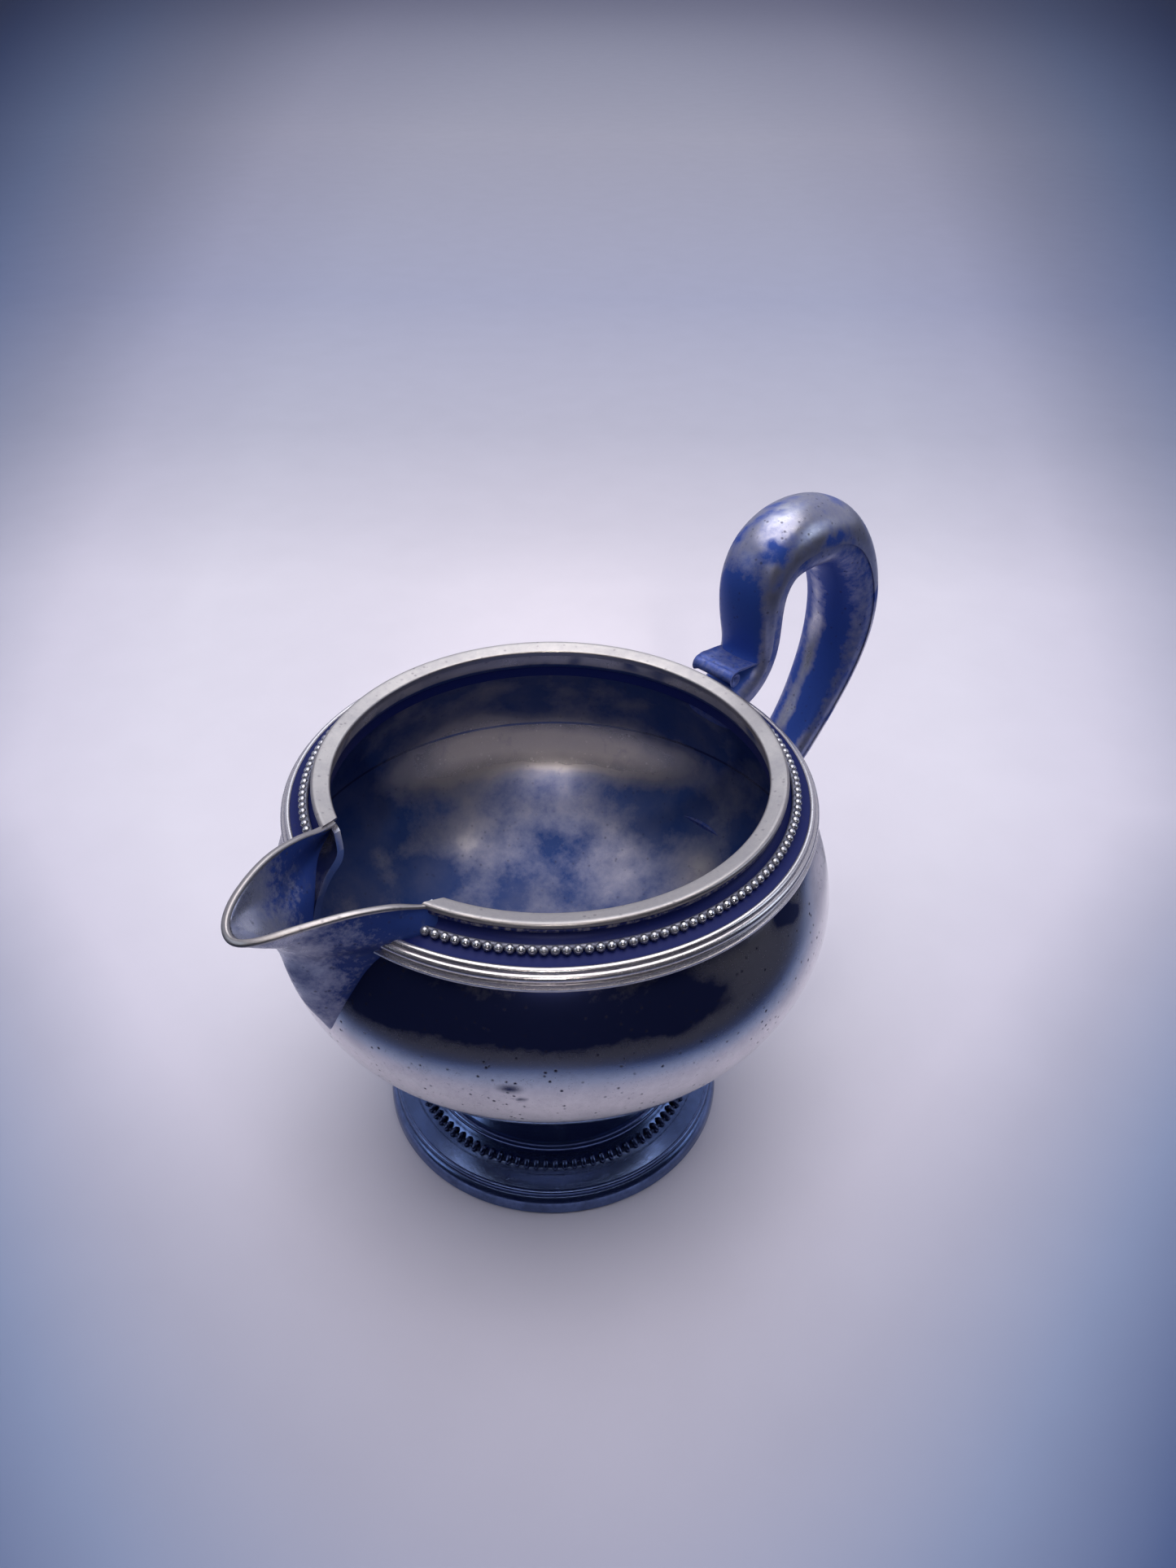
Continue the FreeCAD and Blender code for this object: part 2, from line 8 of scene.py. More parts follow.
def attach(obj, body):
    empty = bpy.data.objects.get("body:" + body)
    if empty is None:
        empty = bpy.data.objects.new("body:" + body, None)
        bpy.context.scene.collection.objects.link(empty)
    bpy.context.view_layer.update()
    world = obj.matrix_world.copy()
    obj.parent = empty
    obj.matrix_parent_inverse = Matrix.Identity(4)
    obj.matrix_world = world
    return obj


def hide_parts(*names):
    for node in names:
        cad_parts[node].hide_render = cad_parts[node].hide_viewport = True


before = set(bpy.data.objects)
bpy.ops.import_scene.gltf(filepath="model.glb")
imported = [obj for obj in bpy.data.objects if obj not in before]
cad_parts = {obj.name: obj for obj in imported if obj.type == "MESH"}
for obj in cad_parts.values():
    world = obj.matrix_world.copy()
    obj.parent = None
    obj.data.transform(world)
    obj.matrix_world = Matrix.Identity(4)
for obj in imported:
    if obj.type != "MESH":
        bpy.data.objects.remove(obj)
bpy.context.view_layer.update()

MM = 0.001
TAU = math.tau

# ------------------------------------------------------------------ camera
cam_data = bpy.data.cameras.new("camera")
cam_data.sensor_width = 36.0
cam_data.lens = 36.0 * 1450.0 / 1927.0
cam_data.clip_start = 0.005
cam = bpy.data.objects.new("camera", cam_data)
bpy.context.scene.collection.objects.link(cam)
right = Vector((0.700771, -0.713294, 0.011441))
up = Vector((0.422121, 0.427533, 0.799393))
fwd = Vector((0.575094, 0.555362, -0.600699))
cam.matrix_world = Matrix(((right.x, up.x, -fwd.x, -0.100298),
                           (right.y, up.y, -fwd.y, -0.104663),
                           (right.z, up.z, -fwd.z, 0.176692),
                           (0, 0, 0, 1)))
bpy.context.scene.camera = cam
bpy.context.scene.view_settings.view_transform = "Standard"


# ------------------------------------------------------------------ curves
def cubic(t, y):
    """natural cubic spline through (t, y): returns a function of arrays"""
    t, y = np.asarray(t, float), np.asarray(y, float)
    n = len(t)
    h = np.diff(t)
    A = np.zeros((n, n))
    b = np.zeros(n)
    A[0, 0] = A[-1, -1] = 1
    for i in range(1, n - 1):
        A[i, i - 1], A[i, i], A[i, i + 1] = h[i - 1], 2 * (h[i - 1] + h[i]), h[i]
        b[i] = 6 * ((y[i + 1] - y[i]) / h[i] - (y[i] - y[i - 1]) / h[i - 1])
    m = np.linalg.solve(A, b)

    def f(x):
        x = np.asarray(x, float)
        i = np.clip(np.searchsorted(t, x) - 1, 0, n - 2)
        d0, d1 = x - t[i], t[i + 1] - x
        return (m[i] * d1 ** 3 + m[i + 1] * d0 ** 3) / (6 * h[i]) + (y[i] / h[i] - m[i] * h[i] / 6) * d1 + (
            y[i + 1] / h[i] - m[i + 1] * h[i] / 6) * d0

    return f


def chord(pts):
    p = np.asarray(pts, float)
    return np.concatenate([[0], np.cumsum(np.linalg.norm(np.diff(p, axis=0), axis=1))])


def curve(pts, n):
    """n points on a smooth line through pts"""
    t = chord(pts)
    p = np.asarray(pts, float)
    u = np.linspace(0, t[-1], n)
    return np.stack([cubic(t, p[:, k])(u) for k in range(p.shape[1])], 1)


def arc3(a, b, c, n):
    """n points on the arc from a over b to c"""
    (ax, ay), (bx, by), (cx, cy) = a, b, c
    d = 2 * (ax * (by - cy) + bx * (cy - ay) + cx * (ay - by))
    ux = ((ax * ax + ay * ay) * (by - cy) + (bx * bx + by * by) * (cy - ay) + (cx * cx + cy * cy) * (ay - by)) / d
    uy = ((ax * ax + ay * ay) * (cx - bx) + (bx * bx + by * by) * (ax - cx) + (cx * cx + cy * cy) * (bx - ax)) / d
    r = math.hypot(ax - ux, ay - uy)
    t0, t1, t2 = (math.atan2(q[1] - uy, q[0] - ux) for q in (a, b, c))
    s1, s2 = (t1 - t0) % TAU, (t2 - t0) % TAU
    if s1 > s2:
        s2 -= TAU
    return [(ux + r * math.cos(t0 + s2 * k / (n - 1)), uy + r * math.sin(t0 + s2 * k / (n - 1))) for k in range(n)]


def offset(pts, t):
    p = np.asarray(pts, float)
    d = np.gradient(p, axis=0)
    d /= np.linalg.norm(d, axis=1, keepdims=True)
    return p + t * np.stack([-d[:, 1], d[:, 0]], 1)


def circle_pts(r, z, rad, n=28):
    return [(r + rad * math.cos(TAU * k / n), z + rad * math.sin(TAU * k / n)) for k in range(n)]


# ------------------------------------------------------------------ meshes
def make(name, verts, faces, mat, nodes=(), sharp=40.0, tarnish_and_painted_light=None, weld=1e-7):
    """a mesh piece from millimetre points, riding on the jug; the per-point value is tarnish together with painted
    shade and painted highlights
    """
    me = bpy.data.meshes.new(name)
    me.from_pydata([tuple(float(c) * MM for c in v) for v in verts], [], faces)
    if tarnish_and_painted_light is not None:
        at = me.attributes.new("tarnish_and_painted_light", "FLOAT", "POINT")
        at.data.foreach_set("value", [float(t) for t in tarnish_and_painted_light])
    bm = bmesh.new()
    bm.from_mesh(me)
    bmesh.ops.remove_doubles(bm, verts=bm.verts, dist=weld)
    bmesh.ops.dissolve_degenerate(bm, edges=bm.edges, dist=weld)
    bmesh.ops.recalc_face_normals(bm, faces=bm.faces)
    bm.to_mesh(me)
    bm.free()
    me.polygons.foreach_set("use_smooth", [True] * len(me.polygons))
    me.set_sharp_from_angle(angle=math.radians(sharp))
    me.materials.append(mat)
    ob = bpy.data.objects.new(name, me)
    bpy.context.scene.collection.objects.link(ob)
    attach(ob, "root")
    if nodes:
        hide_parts(*nodes)
    return ob


def sweep(profile, seg, start=None, closed=True):
    """profile points swept round Z. start(r, z) is the angle from -X where each point's arc begins."""
    m = len(profile)
    th0 = [start(r, z) if start else 0.0 for r, z in profile]
    verts = []
    for (r, z), a in zip(profile, th0):
        for j in range(seg + 1):
            t = a + (TAU - 2 * a) * j / seg
            verts.append((-r * math.cos(t), -r * math.sin(t), z))
    w = seg + 1
    faces = []
    for i in range(m if closed else m - 1):
        k = (i + 1) % m
        for j in range(seg):
            faces.append((i * w + j, i * w + j + 1, k * w + j + 1, k * w + j))
    if start and closed:
        faces.append([i * w for i in range(m)])
        faces.append([i * w + seg for i in reversed(range(m))])
    return verts, faces, w


def ring(name, profile, mat, nodes=(), seg=420, start=None, tarnish_and_painted_light=None, sharp=40.0):
    v, f, w = sweep(profile, seg, start)
    tt = None
    if tarnish_and_painted_light is not None:
        tt = [tarnish_and_painted_light[i] for i in range(len(profile)) for _ in range(w)]
    return make(name, v, f, mat, nodes, sharp, tt)


# ------------------------------------------------------------------ silver materials
def node(nt, kind, **props):
    n = nt.nodes.new(kind)
    for k, v in props.items():
        setattr(n, k, v)
    return n


def ramp(nt, src, stops):
    n = nt.nodes.new("ShaderNodeValToRGB")
    el = n.color_ramp.elements
    while len(el) < len(stops):
        el.new(0.5)
    for e, (p, c) in zip(el, stops):
        e.position = p
        e.color = (c, c, c, 1) if isinstance(c, (int, float)) else (c[0], c[1], c[2], 1)
    nt.links.new(src, n.inputs["Fac"])
    return n.outputs["Color"]


def math_node(nt, op, a, b=None, c=None, clamp=False):
    n = nt.nodes.new("ShaderNodeMath")
    n.operation = op
    n.use_clamp = clamp
    for i, v in enumerate((a, b, c)):
        if v is None:
            continue
        if isinstance(v, (int, float)):
            n.inputs[i].default_value = v
        else:
            nt.links.new(v, n.inputs[i])
    return n.outputs[0]


def mix_col(nt, fac, a, b, mode="MIX"):
    n = nt.nodes.new("ShaderNodeMix")
    n.data_type = "RGBA"
    n.blend_type = mode
    if isinstance(fac, (int, float)):
        n.inputs[0].default_value = fac
    else:
        nt.links.new(fac, n.inputs[0])
    for sock, v in ((n.inputs[6], a), (n.inputs[7], b)):
        if isinstance(v, tuple):
            sock.default_value = (v[0], v[1], v[2], 1)
        else:
            nt.links.new(v, sock)
    return n.outputs[2]


def silver(name, bright=(0.80, 0.79, 0.80), tarnish=(0.16, 0.18, 0.27), rough=0.2, mottle=0.5, pits=0.5,
           scratch=0.5, brush=0.0, stain=0.0, bump=0.4, warm=0.0, film=0.75, grit=0.5, gloss=0.14, painted_highlight_below=0.0):
    """aged silver: cloudy tarnish, dark pits, hair scratches, optional brushing along the ring"""
    m = bpy.data.materials.new(name)
    m.use_nodes = True
    nt = m.node_tree
    nt.nodes.clear()
    out = node(nt, "ShaderNodeOutputMaterial")
    b = node(nt, "ShaderNodeBsdfPrincipled")
    nt.links.new(b.outputs[0], out.inputs[0])
    b.inputs["Specular IOR Level"].default_value = gloss
    tc = node(nt, "ShaderNodeTexCoord")
    mp = node(nt, "ShaderNodeVectorMath", operation="SCALE")
    mp.inputs["Scale"].default_value = 1000.0
    nt.links.new(tc.outputs["Object"], mp.inputs[0])
    P = mp.outputs[0]

    def nz(scale, detail=4.0, rough_=0.55, dist=0.0, vec=None):
        n = node(nt, "ShaderNodeTexNoise")
        n.inputs["Scale"].default_value = scale
        n.inputs["Detail"].default_value = detail
        n.inputs["Roughness"].default_value = rough_
        n.inputs["Distortion"].default_value = dist
        nt.links.new(vec or P, n.inputs["Vector"])
        return n.outputs["Fac"]

    cloud = ramp(nt, nz(0.11, 7, 0.62, 0.6), [(0.36, 0.0), (0.70, 1.0)])
    fine = ramp(nt, nz(0.9, 6, 0.7), [(0.38, 0.0), (0.72, 1.0)])
    patina = math_node(nt, "MULTIPLY_ADD", fine, 0.45, math_node(nt, "MULTIPLY", cloud, 0.75))
    patina = math_node(nt, "MULTIPLY", patina, mottle, clamp=True)
    # the per-point value: tarnish, and painted shade where it is high
    at = node(nt, "ShaderNodeAttribute", attribute_name="tarnish_and_painted_light")
    attr_tarnish_and_light = math_node(nt, "MULTIPLY", at.outputs["Fac"], math_node(nt, "MULTIPLY_ADD", fine, grit, 1.12 - grit), clamp=True)
    total = math_node(nt, "MAXIMUM", patina, attr_tarnish_and_light)
    # the tarnish is a thin matt film over the metal; where the per-point value is below the threshold a pale matt
    # colour is painted in, a painted highlight (the bright band inside the bowl, the streak on the handle tray)
    pale = math_node(nt, "MULTIPLY", math_node(nt, "SUBTRACT", painted_highlight_below, at.outputs["Fac"]),
                     math_node(nt, "MULTIPLY_ADD", fine, -0.7 * grit, 1.0), clamp=True)
    metal = math_node(nt, "MULTIPLY_ADD", total, -film, 1.0)
    nt.links.new(math_node(nt, "MULTIPLY", metal, math_node(nt, "MULTIPLY_ADD", pale, -0.62, 1.0)), b.inputs["Metallic"])
    total = math_node(nt, "MULTIPLY", total, math_node(nt, "SUBTRACT", 1.0, pale))
    col = mix_col(nt, pale, mix_col(nt, total, bright, tarnish), (0.62, 0.56, 0.55))
    if warm:
        tint = ramp(nt, nz(0.07, 5, 0.6), [(0.42, 0.0), (0.66, 1.0)])
        col = mix_col(nt, math_node(nt, "MULTIPLY", tint, warm), col, (0.50, 0.45, 0.40))
    if stain:
        sv = ramp(nt, nz(0.24, 6, 0.7, 1.2), [(0.57, 0.0), (0.66, 1.0)])
        col = mix_col(nt, math_node(nt, "MULTIPLY", sv, stain), col, (0.07, 0.09, 0.20))
    # pits: small dark dots, gathered in patches by a noise of their own
    vo = node(nt, "ShaderNodeTexVoronoi")
    vo.inputs["Scale"].default_value = 0.80
    nt.links.new(P, vo.inputs["Vector"])
    dots = ramp(nt, vo.outputs["Distance"], [(0.10, 1.0), (0.25, 0.0)])
    sel = ramp(nt, nz(0.35, 4, 0.6), [(0.47, 0.0), (0.56, 1.0)])
    pit = math_node(nt, "MULTIPLY", dots, sel)
    vo2 = node(nt, "ShaderNodeTexVoronoi")
    vo2.inputs["Scale"].default_value = 2.9
    nt.links.new(P, vo2.inputs["Vector"])
    dots2 = ramp(nt, vo2.outputs["Distance"], [(0.10, 1.0), (0.25, 0.0)])
    sel2 = ramp(nt, nz(0.8, 4, 0.6), [(0.48, 0.0), (0.60, 1.0)])
    pit = math_node(nt, "MAXIMUM", pit, math_node(nt, "MULTIPLY", math_node(nt, "MULTIPLY", dots2, sel2), 0.7))
    pit = math_node(nt, "MULTIPLY", pit, pits, clamp=True)
    col = mix_col(nt, pit, col, (0.03, 0.03, 0.06))
    nt.links.new(col, b.inputs["Base Color"])
    # hair scratches in three directions
    scr = None
    for k, (rx, ry, rz) in enumerate(((0.3, 0.9, 0.4), (1.2, 0.2, 1.9), (0.5, 1.6, 2.7))):
        vr = node(nt, "ShaderNodeMapping")
        vr.inputs["Rotation"].default_value = (rx, ry, rz)
        vr.inputs["Scale"].default_value = (0.10, 7.0, 7.0)
        nt.links.new(P, vr.inputs["Vector"])
        s = ramp(nt, nz(1.3, 2, 0.5, 0.0, vr.outputs[0]), [(0.66, 0.0), (0.74, 1.0)])
        scr = s if scr is None else math_node(nt, "MAXIMUM", scr, s)
    scr = math_node(nt, "MULTIPLY", scr, scratch, clamp=True)
    rg = math_node(nt, "MULTIPLY_ADD", total, 0.22, rough)
    rg = math_node(nt, "MULTIPLY_ADD", scr, 0.12, rg)
    rg = math_node(nt, "MULTIPLY_ADD", pit, 0.3, rg, clamp=True)
    height = math_node(nt, "MULTIPLY_ADD", fine, 0.25, math_node(nt, "MULTIPLY", scr, -0.5))
    height = math_node(nt, "MULTIPLY_ADD", pit, -1.4, height)
    if brush:
        sp = node(nt, "ShaderNodeSeparateXYZ")
        nt.links.new(P, sp.inputs[0])
        ang = math_node(nt, "ARCTAN2", sp.outputs["Y"], sp.outputs["X"])
        rad = math_node(nt, "SQRT", math_node(nt, "ADD", math_node(nt, "POWER", sp.outputs["X"], 2.0),
                                              math_node(nt, "POWER", sp.outputs["Y"], 2.0)))
        cb = node(nt, "ShaderNodeCombineXYZ")
        nt.links.new(math_node(nt, "MULTIPLY", ang, 2.2), cb.inputs[0])
        nt.links.new(math_node(nt, "MULTIPLY", rad, 9.0), cb.inputs[1])
        nt.links.new(math_node(nt, "MULTIPLY", sp.outputs["Z"], 9.0), cb.inputs[2])
        br = nz(1.0, 3, 0.6, 0.0, cb.outputs[0])
        height = math_node(nt, "MULTIPLY_ADD", br, brush * 1.4, height)
        rg = math_node(nt, "MULTIPLY_ADD", br, 0.12 * brush, rg)
    nt.links.new(rg, b.inputs["Roughness"])
    bp = node(nt, "ShaderNodeBump")
    bp.inputs["Strength"].default_value = bump
    bp.inputs["Distance"].default_value = 0.00004
    nt.links.new(height, bp.inputs["Height"])
    nt.links.new(bp.outputs[0], b.inputs["Normal"])
    return m


M_BOWL = silver("bowl_silver_skin", bright=(0.74, 0.71, 0.72), tarnish=(0.022, 0.030, 0.100), rough=0.08, mottle=0.22,
                pits=1.0, scratch=0.6, film=0.3, bump=0.16, grit=0.12)
M_IN = silver("bowl_inside_skin", bright=(0.56, 0.52, 0.51), tarnish=(0.026, 0.056, 0.195), rough=0.24, mottle=0.30,
              pits=0.3, scratch=0.3, stain=0.2, warm=0.10, film=0.52, grit=0.12, painted_highlight_below=0.62)
M_RIM = silver("rim_skin", bright=(0.46, 0.425, 0.41), tarnish=(0.21, 0.21, 0.25), rough=0.27, mottle=0.45, pits=0.35,
               scratch=0.4, brush=0.8, film=0.3)
M_MOULD = silver("moulding_skin", bright=(0.74, 0.70, 0.70), tarnish=(0.006, 0.011, 0.085), rough=0.17, mottle=0.25,
                 pits=0.25, scratch=0.4, brush=0.5, film=0.85)
M_BEAD = silver("bead_skin", bright=(0.56, 0.56, 0.60), tarnish=(0.014, 0.020, 0.085), rough=0.2, mottle=0.35, pits=0.1,
                scratch=0.2, film=0.8)
M_SPOUT = silver("spout_skin", bright=(0.52, 0.53, 0.60), tarnish=(0.024, 0.052, 0.230), rough=0.20, mottle=0.7, pits=0.5,
                 scratch=0.8, stain=0.5, film=0.75)
M_HANDLE = silver("handle_skin", bright=(0.46, 0.45, 0.49), tarnish=(0.032, 0.078, 0.360), rough=0.24, mottle=0.55,
                  pits=0.6, scratch=0.8, film=0.8, grit=0.35)
M_FOOT = silver("foot_skin", bright=(0.17, 0.24, 0.46), tarnish=(0.006, 0.007, 0.032), rough=0.12, mottle=0.5, pits=0.1,
                scratch=0.5, brush=0.12, film=0.3)
M_FOOTBEAD = silver("foot_bead_skin", bright=(0.08, 0.11, 0.22), tarnish=(0.006, 0.008, 0.030), rough=0.2, mottle=0.5,
                    pits=0.1, scratch=0.2, film=0.4)

# ------------------------------------------------------------------ bowl
BELLY_R, BELLY_Z, DROP = 44.4, 50.0, 29.4
bo = [(0.0, BELLY_Z - DROP)]
for k in range(1, 15):
    a = math.radians(6.0 * k)
    bo.append((BELLY_R * math.sin(a), BELLY_Z - DROP * math.cos(a)))
bo += [(BELLY_R, BELLY_Z), (44.05, 53.2), (43.2, 56.5), (42.1, 59.6), (40.9, 62.4), (39.5, 64.8), (38.2, 66.4),
       (36.6, 67.65), (35.3, 68.35), (34.75, 68.85), (34.5, 69.6), (34.3, 70.9)]
bi = [tuple(p) for p in offset(bo, 1.0)]
bi[0] = (0.0, 21.6)
bi[-1] = (33.3, 70.9)
NB = 170
out_p, in_p = curve(bo, NB), curve(bi, NB)
out_p[0, 0] = in_p[0, 0] = 0.0
R_OUT = lambda z: float(np.interp(z, out_p[:, 1], out_p[:, 0]))
CUT = [(55.6, 2.1), (58.0, 3.9), (61.8, 5.7), (63.8, 6.4), (66.9, 7.3), (69.2, 8.7), (71.5, 10.5), (76.0, 11.0)]
cut_f = cubic([c[0] for c in CUT], [c[1] for c in CUT])


def cut_half(z):
    if z <= 54.6:
        return 0.0
    if z < 55.6:
        return 2.1 * math.sqrt(z - 54.6)
    return float(cut_f(z))


def cut_angle(r, z):
    h = cut_half(z)
    return math.asin(min(0.9, h / r)) if h > 0 else 0.0


def bowl_piece():
    seg = 420
    prof = [tuple(p) for p in out_p] + [tuple(p) for p in in_p[::-1]]
    v, f, w = sweep(prof, seg, cut_angle, closed=False)
    f = list(f)
    # the cut edge of the sheet behind the spout
    n = NB
    for i in range(n - 1):
        if cut_half(out_p[i + 1][1]) <= 0 and cut_half(in_p[i + 1][1]) <= 0:
            continue
        a, b2, c, d = i, i + 1, 2 * n - 2 - i, 2 * n - 1 - i
        f.append((a * w, b2 * w, c * w, d * w))
        f.append((d * w + seg, c * w + seg, b2 * w + seg, a * w + seg))
    return v, f, w


def turn(a, b2):
    return abs((a - b2 + 180.0) % 360.0 - 180.0)


def blob(az, z, saz, sz_, caz, cz):
    return math.exp(-((turn(az, caz) / saz) ** 2 + ((z - cz) / sz_) ** 2))


# cloudy stains (azimuth, height, spread in degrees, spread in mm, strength); below zero is a bright place. Outside
# these are stains; inside they mostly paint light: the broad bright band on the far wall is a painted highlight and the
# dark patches on the side walls are painted shade
STAIN_OUT = [(-81, 63.3, 4.5, 1.7, 1.0), (-77, 61.5, 3.0, 1.2, 0.8), (-141.5, 50.3, 1.9, 0.7, 1.1),
             (-139.5, 48.2, 0.9, 0.4, 0.9), (-150, 59, 24, 5, 0.35), (-100, 60, 26, 4, 0.4), (-168, 57, 9, 5, 0.5),
             (100, 55, 20, 6, 0.5), (35, 60, 30, 6, 0.4), (-30, 42, 18, 6, 0.4), (150, 44, 16, 6, 0.4)]
INSIDE_LIGHT_AND_STAINS = [(46, 45.5, 38, 4.6, -1.6), (68, 49.5, 15, 4.5, -0.7), (22, 44, 12, 4, -0.2), (95, 31, 9, 2.5, 0.5),
            (78, 33, 16, 4, -0.35), (5, 45, 12, 9, 0.3), (110, 47, 20, 10, 0.3), (-6, 33, 14, 3.0, -0.45),
            (25, 30, 14, 3.5, -0.20), (60, 60, 6, 2, -0.35), (92, 57, 5, 2.5, -0.3), (-20, 55, 8, 3, -0.2)]


def bowl_tarnish_and_light(x, y, z, inside):
    az = math.degrees(math.atan2(y, x))
    q = Vector((x, y, z))
    n1 = noise.noise(q * 0.13) + 0.5 * noise.noise(q * 0.31)
    n2 = noise.noise(q * 0.9)
    # inside: darker all over and darker still under the rim, painted shade that also dulls the lamp's reflection in the
    # bottom; the neck's inner wall above z 68.6 is lighter with noise
    if inside:
        t = 0.98 if z < 66 else 1.1
        if z < 40:
            t = 0.98 - 0.08 * min(1.0, (40 - z) / 5.0)
        if z > 68.6:
            t = 0.30 + 0.8 * max(0.0, noise.noise(q * 0.35) - 0.1)
        for caz, cz, sa, ss, k in INSIDE_LIGHT_AND_STAINS:
            t += k * blob(az, z, sa, ss, caz, cz)
        return t + (0.20 if z < 40 else 0.20 + 0.10 * min(1.0, (z - 40) / 8.0)) * n1 + 0.04 * n2
    # outside: darker from z 53.5 up to the flange, less so round azimuth -82, a painted dark reflection under the
    # flange; the blobs are stains
    t = 0.0
    if z > 53.5:
        t = 0.85 * min(1.0, (z - 53.5) / 4.0) * (1.0 - 0.8 * min(1.0, max(0.0, (30.0 - turn(az, -82)) / 18.0)))
    for caz, cz, sa, ss, k in STAIN_OUT:
        t += k * blob(az, z, sa, ss, caz, cz)
    return max(0.0, t * (1.0 + 0.22 * n1 + 0.12 * n2) + 0.2 * max(0.0, n1 - 0.15))


bv, bf, bw = bowl_piece()
bt = [bowl_tarnish_and_light(p[0], p[1], p[2], i >= NB * bw) for i, p in enumerate(bv)]
ob_bowl = make("bowl_skin", bv, bf, M_BOWL, ("bowl",), 50.0, bt, 1e-6)
ob_bowl.data.materials.append(M_IN)
# the inside takes its own finish
for p in ob_bowl.data.polygons:
    c, nn = p.center, p.normal
    rad = math.hypot(c.x, c.y)
    inward = (c.x * nn.x + c.y * nn.y) < 0 if rad > 0.004 else False
    if c.z / MM > 21.2 and (inward or (rad <= 0.004 and nn.z > 0)) and nn.z > -0.999:
        if c.z / MM > 50 or nn.z > 0:
            p.material_index = 1


# ------------------------------------------------------------------ spout surface
SECT = [
    (45.0, [(-30, 3.0), (-34, 2.9), (-37, 2.7), (-39.5, 2.3), (-41.5, 1.7), (-42.8, 0.9), (-43.2, 0)]),
    (50.0, [(-30, 4.0), (-35, 3.9), (-39, 3.6), (-41.7, 3.1), (-43.6, 2.4), (-44.8, 1.3), (-45.2, 0)]),
    (54.0, [(-30, 5.2), (-36, 5.0), (-40, 4.6), (-43, 3.9), (-45, 2.9), (-46.3, 1.6), (-46.8, 0)]),
    (58.0, [(-30, 6.9), (-36, 6.6), (-40, 5.9), (-43.3, 4.8), (-45.7, 3.4), (-47.3, 1.8), (-47.9, 0)]),
    (62.0, [(-30, 9.2), (-36, 8.5), (-40, 7.0), (-43.5, 5.3), (-46.2, 3.7), (-48.0, 1.9), (-48.6, 0)]),
    (65.5, [(-30, 12.4), (-35.5, 10.7), (-40.1, 7.9), (-43.6, 5.8), (-46.6, 3.9), (-48.5, 2.0), (-49.1, 0)]),
    (68.0, [(-30, 14.0), (-35, 12.5), (-39.2, 10.0), (-43.2, 7.6), (-46.9, 5.0), (-49.3, 2.5), (-50.1, 0)]),
    (70.0, [(-30, 13.4), (-35, 12.0), (-39.4, 10.1), (-43.7, 8.0), (-48.1, 5.3), (-51.0, 2.6), (-52.0, 0)]),
    (72.0, [(-30, 12.2), (-34.5, 11.2), (-39.5, 9.8), (-44.2, 8.0), (-49.2, 5.6), (-53.4, 2.9), (-54.9, 0)]),
    (74.0, [(-30, 11.9), (-34.5, 11.0), (-39.8, 9.7), (-45.0, 8.0), (-50.5, 5.6), (-55.0, 2.9), (-56.9, 0)]),
    (76.0, [(-30, 11.9), (-34.5, 11.0), (-40.0, 9.8), (-45.5, 8.1), (-51.5, 5.7), (-56.2, 3.0), (-58.2, 0)]),
]
LIP = [(-30.0, 71.5), (-32.5, 71.7), (-33.6, 72.0), (-35.0, 72.5), (-37.2, 73.4), (-40.3, 74.3), (-43.3, 74.85),
       (-46.2, 75.0), (-49.9, 74.75), (-51.7, 74.45), (-53.4, 74.0), (-55.0, 73.4), (-56.0, 72.8), (-58.5, 71.2)]
sz = np.array([s[0] for s in SECT])
sp_ = np.array([s[1] for s in SECT])                      # level, index, xy
lip_f = cubic([-p[0] for p in LIP], [p[1] for p in LIP])


def sect_pts(z):
    """the seven outline points at height z, on cubic curves up the spout"""
    i = int(np.clip(np.searchsorted(sz, z) - 1, 0, len(sz) - 2))
    h = sz[i + 1] - sz[i]
    u = (z - sz[i]) / h

    def tan(k):
        lo, hi = max(k - 1, 0), min(k + 1, len(sz) - 1)
        return (sp_[hi] - sp_[lo]) / (sz[hi] - sz[lo]) * h

    return ((2 * u ** 3 - 3 * u ** 2 + 1) * sp_[i] + (u ** 3 - 2 * u ** 2 + u) * tan(i)
            + (-2 * u ** 3 + 3 * u ** 2) * sp_[i + 1] + (u ** 3 - u ** 2) * tan(i + 1))


def outline(z, n=161):
    """dense outline from the bowl side (+y) round the nose to the other side"""
    p = sect_pts(z)
    q = np.concatenate([p, (p[:-1] * [1, -1])[::-1]])
    return curve(q, n)


def clip_r(z):
    return R_OUT(z) - 0.55 if z < 70.9 else 33.75


NT = 97


def level(z, grow=0.0):
    """NT points of the outline outside the bowl wall, evenly by length"""
    q = outline(z, 241)
    if grow:
        q = offset(q, grow if (q[1][0] - q[0][0]) > 0 else -grow)
    rr = np.hypot(q[:, 0], q[:, 1])
    R = clip_r(z)
    half = len(q) // 2
    k = half
    while k > 0 and rr[k - 1] > R:
        k -= 1
    if k == half:
        return None
    if k > 0:
        t = (R - rr[k - 1]) / (rr[k] - rr[k - 1])
        first = q[k - 1] + (q[k] - q[k - 1]) * t
    else:
        first = q[0]
    body = np.concatenate([[first], q[k:half + 1]])
    t = chord(body)
    u = np.linspace(0, t[-1], NT // 2 + 1)
    hp = np.stack([np.interp(u, t, body[:, 0]), np.interp(u, t, body[:, 1])], 1)
    hp[-1, 1] = 0.0
    return np.concatenate([hp, (hp[:-1] * [1, -1])[::-1]])


z_low = 45.2
while level(z_low) is None or abs(level(z_low)[NT // 2][0]) - clip_r(z_low) < 0.02:
    z_low += 0.1
    if z_low > 52:
        break
# where each column meets the lip line
z_cols = []
lv_cache = {}


def lv(z):
    key = round(z, 4)
    if key not in lv_cache:
        lv_cache[key] = level(z)
    return lv_cache[key]


